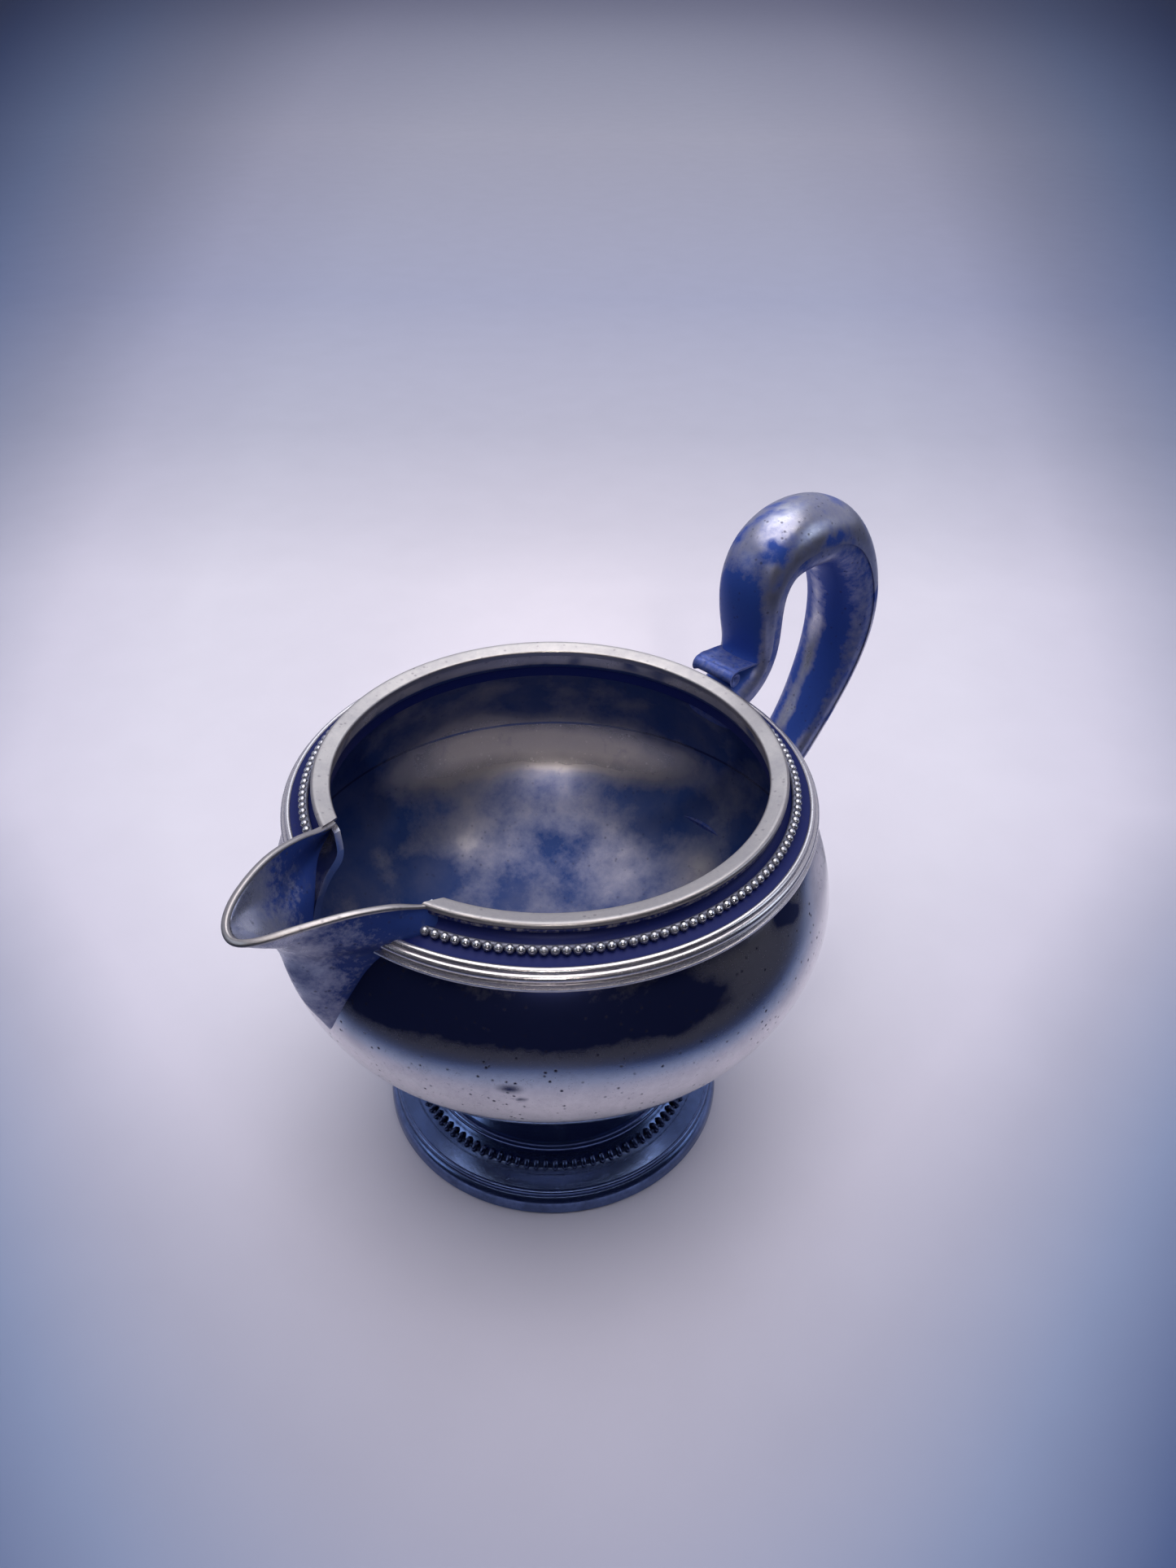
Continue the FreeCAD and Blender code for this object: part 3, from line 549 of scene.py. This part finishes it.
z_fine = np.linspace(70.6, 75.9, 54)
fine_lv = np.array([level(z) for z in z_fine])             # level, column, xy
for c in range(NT):
    g = z_fine - lip_f(-fine_lv[:, c, 0])
    i = int(np.argmax(g > 0)) if (g > 0).any() else len(g) - 1
    i = max(i, 1)
    t = -g[i - 1] / (g[i] - g[i - 1])
    z_cols.append(float(z_fine[i - 1] + t * (z_fine[i] - z_fine[i - 1])))
z_cols = np.array(z_cols)
LIP_BAND = 0.62


def spout_point(c, z):
    z0 = min(max(z, z_low), 75.9)
    key = round(z0 * 5) / 5.0
    za = math.floor(z0 * 5) / 5.0
    zb = za + 0.2
    za = max(za, z_low)
    a, b2 = lv(za), lv(zb)
    t = (z0 - za) / max(zb - za, 1e-6)
    return a[c] * (1 - t) + b2[c] * t


def spout_grid(zs_of_col, rows):
    """rows x columns of points, from the bottom to each column's own top"""
    G = np.zeros((rows, NT, 3))
    for c in range(NT):
        top = zs_of_col[c]
        for r in range(rows):
            z = z_low + (top - z_low) * (r / (rows - 1))
            G[r, c, :2] = spout_point(c, z)
            G[r, c, 2] = z
    return G


def grid_normals(G):
    du = np.gradient(G, axis=0)
    dv = np.gradient(G, axis=1)
    n = np.cross(dv, du)
    n /= np.linalg.norm(n, axis=2, keepdims=True) + 1e-12
    # point away from the axis line of the spout
    if (n[:, NT // 2, 0]).mean() > 0:
        n = -n
    return n


ROWS = 96
GO = spout_grid(z_cols - LIP_BAND * 0.6, ROWS)
GN = grid_normals(GO)
GI = GO - 0.8 * GN
# keep the level of the top row on the inside edge too
GI[-1, :, 2] = GO[-1, :, 2]


def shell(A, B):
    """two grids closed all round: outer A, inner B"""
    rows, cols = A.shape[:2]
    v = [tuple(p) for p in A.reshape(-1, 3)] + [tuple(p) for p in B.reshape(-1, 3)]
    o = rows * cols
    f = []
    for r in range(rows - 1):
        for c in range(cols - 1):
            a = r * cols + c
            f.append((a, a + 1, a + cols + 1, a + cols))
            f.append((o + a, o + a + cols, o + a + cols + 1, o + a + 1))
    for c in range(cols - 1):
        f.append((c, o + c, o + c + 1, c + 1))
        t = (rows - 1) * cols + c
        f.append((t, t + 1, o + t + 1, o + t))
    for r in range(rows - 1):
        a = r * cols
        f.append((a, a + cols, o + a + cols, o + a))
        e = r * cols + cols - 1
        f.append((e, o + e, o + e + cols, e + cols))
    return v, f


sv_, sf_ = shell(GO, GI)
ob_spout = make("spout_skin", sv_, sf_, M_SPOUT, ("spout",), 50.0,
                [max(0.0, 0.34 + 1.3 * min(1.0, max(0.0, (p[0] + 50.0) / 12.0))
                     + 0.5 * noise.noise(Vector(p) * 0.25)) for p in sv_])


# the thickened lip edge: a rounded bead of metal along the top of the spout
def lip_edge():
    top = np.array([[*spout_point(c, z_cols[c]), z_cols[c]] for c in range(NT)])
    low = np.array([[*spout_point(c, z_cols[c] - 1.2), z_cols[c] - 1.2] for c in range(NT)])
    upv = top - low
    upv /= np.linalg.norm(upv, axis=1, keepdims=True)
    tan = np.gradient(top, axis=0)
    tan /= np.linalg.norm(tan, axis=1, keepdims=True)
    nrm = np.cross(tan, upv)
    nrm /= np.linalg.norm(nrm, axis=1, keepdims=True)
    if nrm[NT // 2, 0] > 0:
        nrm = -nrm
    w0, w1, h = 0.22, -0.80, 0.62
    sec = [(w0 - 0.05, -h), (w0, -h + 0.12), (w0, -0.24), (w0 - 0.08, -0.08), (w0 - 0.25, 0.0), (-0.30, 0.02),
           (w1 + 0.22, 0.0), (w1 + 0.06, -0.09), (w1, -0.26), (w1, -h)]
    ref = top[:, 2:3] * 0
    P = []
    for a, b2 in sec:
        P.append(top + nrm * a + upv * b2 + ref)
    P = np.array(P)                                        # section, column, xyz
    m = len(sec)
    v = [tuple(p) for p in P.reshape(-1, 3)]
    f = []
    for i in range(m):
        k = (i + 1) % m
        for c in range(NT - 1):
            f.append((i * NT + c, i * NT + c + 1, k * NT + c + 1, k * NT + c))
    f.append([i * NT for i in reversed(range(m))])
    f.append([i * NT + NT - 1 for i in range(m)])
    return v, f


lv_v, lv_f = lip_edge()
make("spout_lip_edge", lv_v, lv_f, M_RIM, ("spout_edge_wire",), 50.0)

# ------------------------------------------------------------------ where the rings stop at the spout
gap_z = np.linspace(64.0, 74.0, 81)
gap_o = [outline(z, 241)[:121] for z in gap_z]


def gap_angle(r, z):
    """angle from -X where a circle of radius r at height z runs into the spout's flank"""
    k = (min(max(z, 64.0), 74.0) - 64.0) / 0.125
    i = int(min(math.floor(k), 79))
    q = gap_o[i] * (1 - (k - i)) + gap_o[i + 1] * (k - i)
    rr = np.hypot(q[:, 0], q[:, 1])
    j = int(np.argmax(rr > r))
    if rr[j] <= r or j == 0:
        return 0.30
    t = (r - rr[j - 1]) / (rr[j] - rr[j - 1])
    p = q[j - 1] + (q[j] - q[j - 1]) * t
    return math.atan2(p[1], -p[0]) - 0.30 / r


# ------------------------------------------------------------------ rings of the neck
rim_prof = ([(33.05, 70.9), (33.0, 71.5)] + arc3((33.0, 71.5), (33.06, 71.75), (33.28, 71.88), 7)[1:]
            + [(33.9, 72.0), (34.5, 72.125), (35.0, 72.22)]
            + arc3((35.40, 72.30), (35.75, 72.1), (35.85, 71.75), 10)
            + [(35.84, 71.6), (35.75, 71.42), (35.0, 71.3), (34.3, 70.9)])
# painted shade: the underside of the rim and the foot of its inner wall are darkened
rim_painted_shade = [0.3, 0.1] + [0.0] * 6 + [0.0] * 3 + [0.0] * 10 + [0.3, 0.8, 1.0, 1.0]
ring("rim", rim_prof, M_RIM, ("rim_wire",), 480, gap_angle, rim_painted_shade, 30)
# painted shade: the fillet wire and the concave neck band under the rim are darkened all round, standing for the dark
# band between rim and beads
ring("neck_fillet", circle_pts(35.42, 70.98, 0.33, 20), M_MOULD, ("neck_fillet_wire",), 420,
     gap_angle, [1.2] * 20)
band_c = [tuple(p) for p in curve([(35.05, 70.9), (35.1, 70.3), (35.3, 69.8), (35.75, 69.3), (36.35, 68.95), (36.9, 68.8)], 16)]
band_prof = band_c + [(36.9, 68.3), (34.6, 68.3), (34.6, 70.9)]
ring("neck_cove", band_prof, M_MOULD, ("neck_band",), 420, gap_angle,
     [2.0] * len(band_prof))

reed = ([(34.2, 68.4), (35.9, 68.72)] + [(36.9, 68.6)] + arc3((37.9, 68.46), (38.6, 68.26), (39.28, 68.22), 8)
        + arc3((39.28, 68.22), (39.78, 68.42), (40.12, 67.78), 14)[1:]
        + arc3((40.12, 67.78), (40.78, 67.30), (40.30, 66.50), 18)[1:]
        + arc3((40.30, 66.50), (40.12, 66.05), (40.45, 65.80), 8)[1:]
        + [(40.68, 65.74), (40.9, 65.68), (40.93, 65.5), (40.9, 65.30), (38.2, 64.85), (34.2, 66.2)])


# painted shade: the ledge behind the beads, the two grooves between the reeds and the underside of the flange are
# darkened; the rib tops stay bright
def reed_painted_shade(p):
    r, z = p
    if r < 38.0:
        return 1.8
    if z > 68.1 and r < 39.3:
        return 1.8
    d1 = math.hypot(r - 40.12, z - 67.78)
    d2 = math.hypot(r - 40.20, z - 66.1)
    return max(0.0, 1.0 - d1 / 0.28, 1.0 - d2 / 0.45, 0.9 if z < 65.4 else 0.0)


ring("shoulder_reeds", reed, M_MOULD, ("shoulder_reeded_wire",), 480, gap_angle,
     [reed_painted_shade(p) for p in reed], 30)


# ------------------------------------------------------------------ beads
def beads(name, R, z, count, radii, tilt, carrier, nodes, start=0.0, carrier_start=None, dark=0.9, mat=None):
    """a row of beads on a thin carrier wire. radii: along the ring, across it, up"""
    vs, fs, tn = [], [], []
    nu, nvv = 14, 9
    ct, st = math.cos(tilt), math.sin(tilt)
    for k in range(count):
        th = start + (TAU - 2 * start) * (k + 0.5) / count
        rad = Vector((-math.cos(th), -math.sin(th), 0))
        tg = Vector((math.sin(th), -math.cos(th), 0))
        ax = rad * ct + Vector((0, 0, 1)) * st             # across the ring, along the slope
        nm = Vector((0, 0, 1)) * ct - rad * st
        c = rad * R + Vector((0, 0, z))
        j = 1.0 + 0.04 * noise.noise(Vector((k * 1.7, R, 0)))
        base = len(vs)
        for a in range(nvv + 1):
            ph = math.pi * a / nvv
            for b2 in range(nu):
                q = TAU * b2 / nu
                p = c + tg * (radii[0] * j * math.sin(ph) * math.cos(q)) + ax * (radii[1] * math.sin(ph) * math.sin(q)) + nm * (
                    radii[2] * math.cos(ph))
                vs.append(tuple(p))
                # painted shade: the sides and undersides of each bead are darkened, the tops left bright
                side = math.sin(ph) * abs(math.cos(q))
                tn.append(dark * max(0.0, min(1.0, (side - 0.55) / 0.35, )) if math.cos(ph) > -0.2 else dark)
        for a in range(nvv):
            for b2 in range(nu):
                c2 = (b2 + 1) % nu
                fs.append((base + a * nu + b2, base + a * nu + c2, base + (a + 1) * nu + c2, base + (a + 1) * nu + b2))
    v2, f2, w = sweep(carrier, 360, carrier_start)
    o = len(vs)
    vs += v2
    fs += [tuple(i + o for i in q) for q in f2]
    # painted shade on the carrier wire between the beads
    tn += [0.85] * len(v2)
    return make(name, vs, fs, mat or M_BEAD, nodes, 60.0, tn)


g_bead = gap_angle(37.3, 69.2)
n_beads = int(round((TAU - 2 * g_bead) * 37.3 / 1.455))
beads("neck_beads", 37.3, 69.2, n_beads, (0.655, 0.66, 0.66), 0.0, circle_pts(36.85, 69.25, 0.36, 12),
      ("neck_beaded_wire",), g_bead, gap_angle)
beads("foot_beads", 24.7, 6.2, 97, (0.55, 1.0, 0.62), -0.55, circle_pts(24.7, 5.95, 0.36, 12),
      ("foot_beaded_wire",), mat=M_FOOTBEAD)

# ------------------------------------------------------------------ foot
stem_o = [(21.75, 8.7), (20.4, 9.9), (18.4, 12.0), (16.5, 14.6), (15.1, 17.4), (14.6, 19.8), (14.9, 21.6), (15.9, 22.3)]
so_ = curve(stem_o, 40)
si_ = offset(so_, 1.0)
if si_[5][0] > so_[5][0]:
    si_ = offset(so_, -1.0)
ring("stem", [tuple(p) for p in so_] + [tuple(p) for p in si_[::-1]], M_FOOT, ("foot_stem",), 300,
     None, [0.35 + 0.5 * (i > 30) for i in range(40)] + [0.8] * 40)
dome_o = [(28.25, 4.3), (27.3, 4.7), (26.2, 5.15), (25.2, 5.6), (24.3, 6.15), (23.4, 6.9), (22.5, 7.8), (21.75, 8.7)]
do_ = curve(dome_o, 40)
di_ = offset(do_, 0.9)
if di_[20][1] > do_[20][1]:
    di_ = offset(do_, -0.9)


# painted shade: thin dark rings on the foot dome just outside and just inside the row of beads
def dome_painted_shade(r):
    return max(0.0, 1.0 - abs(r - 26.0) / 0.35, 1.0 - abs(r - 23.4) / 0.5) * 0.9


ring("foot_dome_skin", [tuple(p) for p in do_] + [tuple(p) for p in di_[::-1]], M_FOOT, ("foot_dome",),
     360, None, [dome_painted_shade(p[0]) for p in do_] + [0.8] * 40)
# painted shade: the lower half of the collar wire is darkened, the top left bright
ring("foot_collar", circle_pts(22.6, 8.1, 0.72, 28), M_FOOT, ("foot_collar_wire",), 360, None,
     [0.0 if 0 <= math.sin(TAU * k / 28) else 0.7 for k in range(28)])
step_prof = [(28.0, 3.2), (28.25, 4.3)] + arc3((28.25, 4.3), (28.72, 4.32), (28.95, 3.72), 10)[1:] + [(28.95, 3.2)]
ring("foot_step", step_prof, M_FOOT, ("foot_step_wire",), 360, None, [0.5, 0.3] + [0.0] * 9 + [0.9])
# painted dark reflection: the upper face of the base moulding darkens toward the step; the hidden inner faces are dark
# too
base_prof = ([(27.2, 0.0), (28.4, 0.0)] + arc3((29.6, 0), (29.93, 0.25), (30.0, 0.7), 8) + [(29.98, 1.1)]
             + arc3((29.95, 1.5), (29.65, 2.55), (28.95, 3.3), 12) + [(28.25, 3.3), (28.2, 3.9), (27.2, 3.9)])
ring("foot_ring", base_prof, M_FOOT, ("foot_base_ring",), 420, None,
     [0.6, 0.5] + [0.1] * 8 + [0.0] + [max(0.0, (k - 7) / 5.0) for k in range(12)] + [1, 1, 1])

# ------------------------------------------------------------------ handle
HL = [
    (41.9, 66.0, 4.3, 2.8, 2.4, 1.2), (45.4, 68.3, 4.6, 2.8, 2.6, 1.4), (47.4, 72.1, 4.93, 2.6, 2.6, 1.63),
    (47.27, 76.60, 5.33, 3.04, 2.70, 1.87), (46.97, 81.01, 5.59, 3.65, 2.70, 2.10),
    (47.66, 85.26, 5.81, 4.52, 2.70, 2.29), (50.24, 88.47, 6.01, 5.64, 2.60, 2.45),
    (54.79, 89.86, 6.33, 6.41, 2.60, 2.47), (59.78, 89.77, 6.49, 6.65, 2.60, 2.59),
    (65.00, 88.56, 6.51, 6.44, 2.60, 2.80), (69.91, 85.42, 6.55, 5.69, 2.70, 3.13),
    (73.96, 80.37, 6.56, 4.85, 2.80, 3.48), (76.49, 73.88, 6.57, 4.12, 2.80, 3.65),
    (76.88, 67.28, 6.41, 3.63, 2.80, 3.46), (75.45, 61.23, 6.07, 3.27, 2.60, 3.08),
    (72.62, 55.32, 5.60, 2.98, 2.40, 2.51), (68.65, 49.54, 5.11, 2.75, 2.20, 2.03),
    (63.64, 44.17, 4.81, 2.65, 2.00, 1.55), (57.59, 39.64, 4.52, 2.54, 1.80, 1.18),
    (51.01, 36.61, 4.30, 2.44, 1.70, 1.00), (44.17, 35.42, 4.28, 2.43, 1.60, 0.82),
]
HL = np.array(HL)
ht = chord(HL[:, :2])
hf = [cubic(ht, HL[:, k]) for k in range(6)]
NS = 170
hs = np.linspace(0, ht[-1], NS)
hx, hz, hb, ha, hh, hc = [f(hs) for f in hf]
tx, tz = np.gradient(hx), np.gradient(hz)
tl = np.hypot(tx, tz)
tx, tz = tx / tl, tz / tl
nx, nz_ = -tz, tx
SEAM = 0.22
WALL = 0.9


def put(i, y, n):
    return (hx[i] + nx[i] * n, y, hz[i] + nz_[i] * n)


def dome_sec(b, a, m):
    p = []
    for k in range(m):
        f = math.pi * k / (m - 1)
        c, s = math.cos(f), math.sin(f)
        p.append((b * math.copysign(abs(c) ** 0.9, c), a * abs(s) ** 0.92))
    return p


def tray_sec(b, h, c, m):
    half = [(b, 0.0), (b * 0.995, -h * 0.5), (b * 0.945, -h * 0.95), (b * 0.74, -h - c * 0.52), (b * 0.39, -h - c * 0.87)]
    q = half + [(0.0, -h - c)] + [(-y, n) for y, n in reversed(half)]
    t = np.arange(len(q), dtype=float)
    u = np.linspace(0, len(q) - 1, m)
    q = np.array(q)
    return list(zip(cubic(t, q[:, 0])(u), cubic(t, q[:, 1])(u)))


def half_handle(sec_o, sec_i, m, tarnish_light_fn):
    v, f, t = [], [], []
    w = 2 * m
    for i in range(NS):
        so, si = sec_o(i), sec_i(i)
        o = [put(i, y, n) for y, n in so]
        q = [put(i, y, n) for y, n in si]
        v += o + q[::-1]
        t += [tarnish_light_fn(i, y / hb[i], n, o[k]) for k, (y, n) in enumerate(so)] + [0.8] * m
    for i in range(NS - 1):
        for k in range(w):
            k2 = (k + 1) % w
            f.append((i * w + k, i * w + k2, (i + 1) * w + k2, (i + 1) * w + k))
    f.append(list(range(w)))
    f.append([(NS - 1) * w + k for k in reversed(range(w))])
    return v, f, t


def ease(x, a, b2):
    x = min(1.0, max(0.0, (x - a) / (b2 - a)))
    return x * x * (3 - 2 * x)


def dome_grime(i, e, n, p):
    q = Vector(p)
    n1 = noise.noise(q * 0.22) + 0.5 * noise.noise(q * 0.5)
    n2 = noise.noise(q * 1.3)
    s = hs[i] / hs[-1]
    # navy on the front limb, pale and speckled over the arch, patchy down the back
    limb = 1.0 - ease(s, 0.155, 0.235)
    side = ease(abs(e), 0.50, 0.98)
    t = 1.8 * limb * (1 - 0.72 * side)
    t += (0.22 + 1.5 * max(0.0, n1 + 0.02)) * (1 - limb)
    return max(0.0, t + 0.22 * n1 * limb + 0.18 * n2)


def tray_tarnish_and_painted_light(i, e, n, p):
    q = Vector(p)
    n1 = noise.noise(q * 0.2) + 0.5 * noise.noise(q * 0.5)
    n2 = noise.noise(q * 1.3)
    # painted light: the streak along the tray is a painted highlight (its values go below zero and take the pale
    # colour), and the darker flat middle is a painted dark reflection; the rest is tarnish with noise
    flat = 1.0 - ease(abs(e), 0.45, 0.95)
    highlight_streak = math.exp(-((e - 0.22) / 0.32) ** 2) * max(0.0, 0.62 + 0.6 * noise.noise(Vector((hs[i] * 0.11, 3.1, 0))))
    t = 0.78 + 0.95 * flat - 2.2 * highlight_streak
    return t + 0.45 * n1 + 0.25 * n2


MD = 33
hv, hfc, hgt = half_handle(lambda i: dome_sec(hb[i] + SEAM, ha[i], MD),
                      lambda i: dome_sec(hb[i] - WALL, ha[i] - WALL, MD), MD, dome_grime)
make("handle_dome", hv, hfc, M_HANDLE, ("handle_outer_shell",), 50, hgt)
hv, hfc, hgt = half_handle(lambda i: tray_sec(hb[i], hh[i], hc[i], MD),
                      lambda i: tray_sec(hb[i] - WALL, hh[i] - WALL * 0.7, hc[i] - WALL * 0.3, MD), MD,
                           tray_tarnish_and_painted_light)
make("handle_tray", hv, hfc, M_HANDLE, ("handle_inner_shell",), 50, hgt)


def stub(name, i, direction, steps, nodes, tarnish_and_painted_light=0.95):
    """a closed end piece that carries the handle's outline on to the body"""
    m = 33
    v, f = [], []
    rows = 0
    for d, g in steps:
        o = dome_sec(hb[i] + SEAM + g, ha[i] + g, m)
        q = tray_sec(hb[i] + SEAM + g, hh[i] + g, hc[i], m)
        loop = o + q[::-1][1:-1]
        for y, n in loop:
            p = put(i, y, n)
            v.append((p[0] + tx[i] * d * direction, p[1], p[2] + tz[i] * d * direction))
        w = len(loop)
        rows += 1
    for r in range(rows - 1):
        for k in range(w):
            k2 = (k + 1) % w
            f.append((r * w + k, r * w + k2, (r + 1) * w + k2, (r + 1) * w + k))
    f.append(list(range(w)))
    f.append([(rows - 1) * w + k for k in reversed(range(w))])
    return make(name, v, f, M_HANDLE, nodes, 50, [tarnish_and_painted_light] * len(v))


stub("handle_socket", 0, -1, ((0.0, 0.0), (0.8, 0.08), (1.6, 0.15), (2.4, 0.25), (3.2, 0.3), (4.6, 0.3)),
     ("handle_upper_socket",))
stub("handle_pad", NS - 1, 1, ((0.0, 0.0), (0.3, 0.28), (0.7, 0.5), (1.2, 0.68), (1.6, 0.75), (3.2, 0.75), (5.2, 0.75)),
     ("handle_lower_pad",))

# ------------------------------------------------------------------ rolled thumb tab
ROLL_X, ROLL_Z, ROLL_R = 39.3, 71.2, 1.25


def tab_piece():
    T = 0.55
    line = [(47.0, 71.2), (45.2, 71.75), (43.4, 72.05), (41.4, 72.3), (39.9, 72.42)]
    turns = 1.35
    n = 34
    for k in range(n + 1):
        a = math.radians(75) + turns * TAU * k / n
        r = ROLL_R - 0.06 - (0.62 * k / n)
        line.append((ROLL_X + r * math.cos(a), ROLL_Z + r * math.sin(a)))
    line = np.array(line)
    c = curve(line, 110)
    d = np.gradient(c, axis=0)
    d /= np.linalg.norm(d, axis=1, keepdims=True)
    nn = np.stack([-d[:, 1], d[:, 0]], 1)
    cols = 27
    A, B = [], []
    for i in range(len(c)):
        s = min(1.0, chord(c)[i] / 7.0)
        hw = 4.2 - 0.0 * s
        ra, rb = [], []
        for k in range(cols):
            e = -1 + 2 * k / (cols - 1)
            y = hw * e
            edge = max(0.0, abs(e) - 0.80) / 0.20
            drop = 0.34 * edge * edge
            th = T * (1 - 0.55 * edge * edge)
            mid = c[i] - nn[i] * (-0.0)
            top = mid + nn[i] * (-drop if True else 0)
            bot = top - nn[i] * (-th)
            ra.append((top[0], y, top[1]))
            rb.append((bot[0], y, bot[1]))
        A.append(ra)
        B.append(rb)
    return shell(np.array(A), np.array(B))


tv, tf = tab_piece()
make("thumb_scroll", tv, tf, M_HANDLE, ("handle_scroll_tab",), 45,
     [0.1 if p[0] < 36.2 else 0.95 for p in tv])

# ------------------------------------------------------------------ floor
fm = bpy.data.materials.new("floor_paper")
fm.use_nodes = True
nt = fm.node_tree
fb = nt.nodes["Principled BSDF"]
fb.inputs["Roughness"].default_value = 0.85
fb.inputs["Specular IOR Level"].default_value = 0.15
tc = node(nt, "ShaderNodeTexCoord")
fn = node(nt, "ShaderNodeTexNoise")
fn.inputs["Scale"].default_value = 60.0
fn.inputs["Detail"].default_value = 5.0
nt.links.new(tc.outputs["Object"], fn.inputs["Vector"])
grain = ramp(nt, fn.outputs["Fac"], [(0.3, 0.975), (0.7, 1.0)])
# painted pool of light on the floor: pale under and behind the jug, falling to slate blue further out; it is centred on
# the jug, laid out along the view, and stands for the lamps' falloff and darkens the floor that the belly reflects
sub = node(nt, "ShaderNodeVectorMath", operation="SUBTRACT")
nt.links.new(tc.outputs["Object"], sub.inputs[0])
sub.inputs[1].default_value = (0.060, 0.058, 0.0)
dv = node(nt, "ShaderNodeVectorMath", operation="DOT_PRODUCT")
dv.inputs[1].default_value = (0.719, 0.695, 0.0)
nt.links.new(sub.outputs[0], dv.inputs[0])
dl = node(nt, "ShaderNodeVectorMath", operation="DOT_PRODUCT")
dl.inputs[1].default_value = (0.695, -0.719, 0.0)
nt.links.new(sub.outputs[0], dl.inputs[0])
back = math_node(nt, "MAXIMUM", dv.outputs["Value"], 0.0)
near = math_node(nt, "MINIMUM", dv.outputs["Value"], 0.0)
bsoft = math_node(nt, "DIVIDE", math_node(nt, "MULTIPLY", back, 0.13), math_node(nt, "ADD", back, 0.5))
along = math_node(nt, "ADD", bsoft, near)
lat = math_node(nt, "DIVIDE", dl.outputs["Value"], math_node(nt, "MULTIPLY_ADD", back, 1.7, 1.0))
lat = math_node(nt, "MULTIPLY", lat, math_node(nt, "MULTIPLY_ADD", near, -6.0, 1.0))
rho = math_node(nt, "SQRT", math_node(nt, "ADD", math_node(nt, "MULTIPLY", along, along), math_node(nt, "MULTIPLY", lat, lat)))
shade = ramp(nt, rho, [(0.0, (0.80, 0.75, 0.82)), (0.10, (0.78, 0.75, 0.83)), (0.135, (0.70, 0.67, 0.77)),
                       (0.165, (0.47, 0.47, 0.58)), (0.20, (0.26, 0.31, 0.46)), (0.235, (0.085, 0.125, 0.26)),
                       (0.262, (0.022, 0.036, 0.10)), (0.32, (0.008, 0.012, 0.035))])
# painted falloff behind the jug
painted_back_falloff = ramp(nt, back, [(0.11, (1, 1, 1)), (0.16, (0.87, 0.88, 0.90)), (0.25, (0.72, 0.75, 0.80)),
                       (0.45, (0.66, 0.71, 0.82)), (1.0, (1.0, 1.0, 1.0))])
shade = mix_col(nt, 1.0, shade, painted_back_falloff, "MULTIPLY")
nt.links.new(mix_col(nt, 1.0, shade, grain, "MULTIPLY"), fb.inputs["Base Color"])
bm = bmesh.new()
bmesh.ops.create_circle(bm, cap_ends=True, segments=96, radius=5.0)
fme = bpy.data.meshes.new("floor")
bm.to_mesh(fme)
bm.free()
fme.materials.append(fm)
floor = bpy.data.objects.new("floor", fme)
bpy.context.scene.collection.objects.link(floor)


# ------------------------------------------------------------------ light
def area(name, loc, target, size, power, color=(1, 1, 1), size_y=None):
    ld = bpy.data.lights.new(name, "AREA")
    ld.shape = "RECTANGLE" if size_y else "DISK"
    ld.size = size
    if size_y:
        ld.size_y = size_y
    ld.energy = power
    ld.color = color
    ob = bpy.data.objects.new(name, ld)
    ob.location = loc
    ob.rotation_euler = (Vector(target) - Vector(loc)).to_track_quat("-Z", "Y").to_euler()
    bpy.context.scene.collection.objects.link(ob)
    ob.visible_camera = False
    return ob


area("key", (0.02, 0.02, 0.76), (0, 0, 0.04), 0.95, 5.4, (1.0, 0.96, 0.94))
area("back", (1.0, 0.97, 1.6), (0.5, 0.48, 0.0), 1.5, 6.6, (0.88, 0.94, 1.0))
area("left", (-0.50, 0.30, 0.34), (0, 0, 0.05), 0.30, 0.35, (0.72, 0.84, 1.0))
area("right", (0.42, -0.42, 0.34), (0, 0, 0.05), 0.30, 0.35, (0.72, 0.84, 1.0))

# a narrow soft beam through the mouth on to the far wall of the bowl
sl = bpy.data.lights.new("mouth", "SPOT")
sl.energy = 22.0
sl.spot_size = math.radians(4.3)
sl.spot_blend = 1.0
sl.shadow_soft_size = 0.04
sl.color = (1.0, 0.93, 0.88)
so = bpy.data.objects.new("mouth", sl)
so.location = (-0.455, -0.475, 0.47)
so.rotation_euler = (Vector((0.027, 0.027, 0.050)) - so.location).to_track_quat("-Z", "Y").to_euler()
bpy.context.scene.collection.objects.link(so)

world = bpy.data.worlds.new("soft_room")
bpy.context.scene.world = world
world.use_nodes = True
wn = world.node_tree
bg = wn.nodes["Background"]
wt = node(wn, "ShaderNodeTexCoord")
sepw = node(wn, "ShaderNodeSeparateXYZ")
wn.links.new(wt.outputs["Generated"], sepw.inputs[0])
dotn = node(wn, "ShaderNodeVectorMath", operation="DOT_PRODUCT")
dotn.inputs[1].default_value = (-0.692, -0.722, 0.0)
wn.links.new(wt.outputs["Generated"], dotn.inputs[0])
front = ramp(wn, math_node(wn, "MULTIPLY_ADD", dotn.outputs["Value"], 0.5, 0.5), [(0.36, 0.0), (0.62, 1.0)])
lowside = ramp(wn, sepw.outputs["Z"], [(0.84, 1.0), (0.97, 0.0)])
darkside = math_node(wn, "MULTIPLY", front, lowside)
sky = ramp(wn, sepw.outputs["Z"], [(0.0, (0.42, 0.45, 0.60)), (0.30, (0.48, 0.48, 0.58)), (0.6, (0.34, 0.36, 0.46)),
                                  (1.0, (0.10, 0.13, 0.26))])
wn.links.new(mix_col(wn, darkside, sky, (0.0030, 0.005, 0.024)), bg.inputs["Color"])
bg.inputs["Strength"].default_value = 1.0
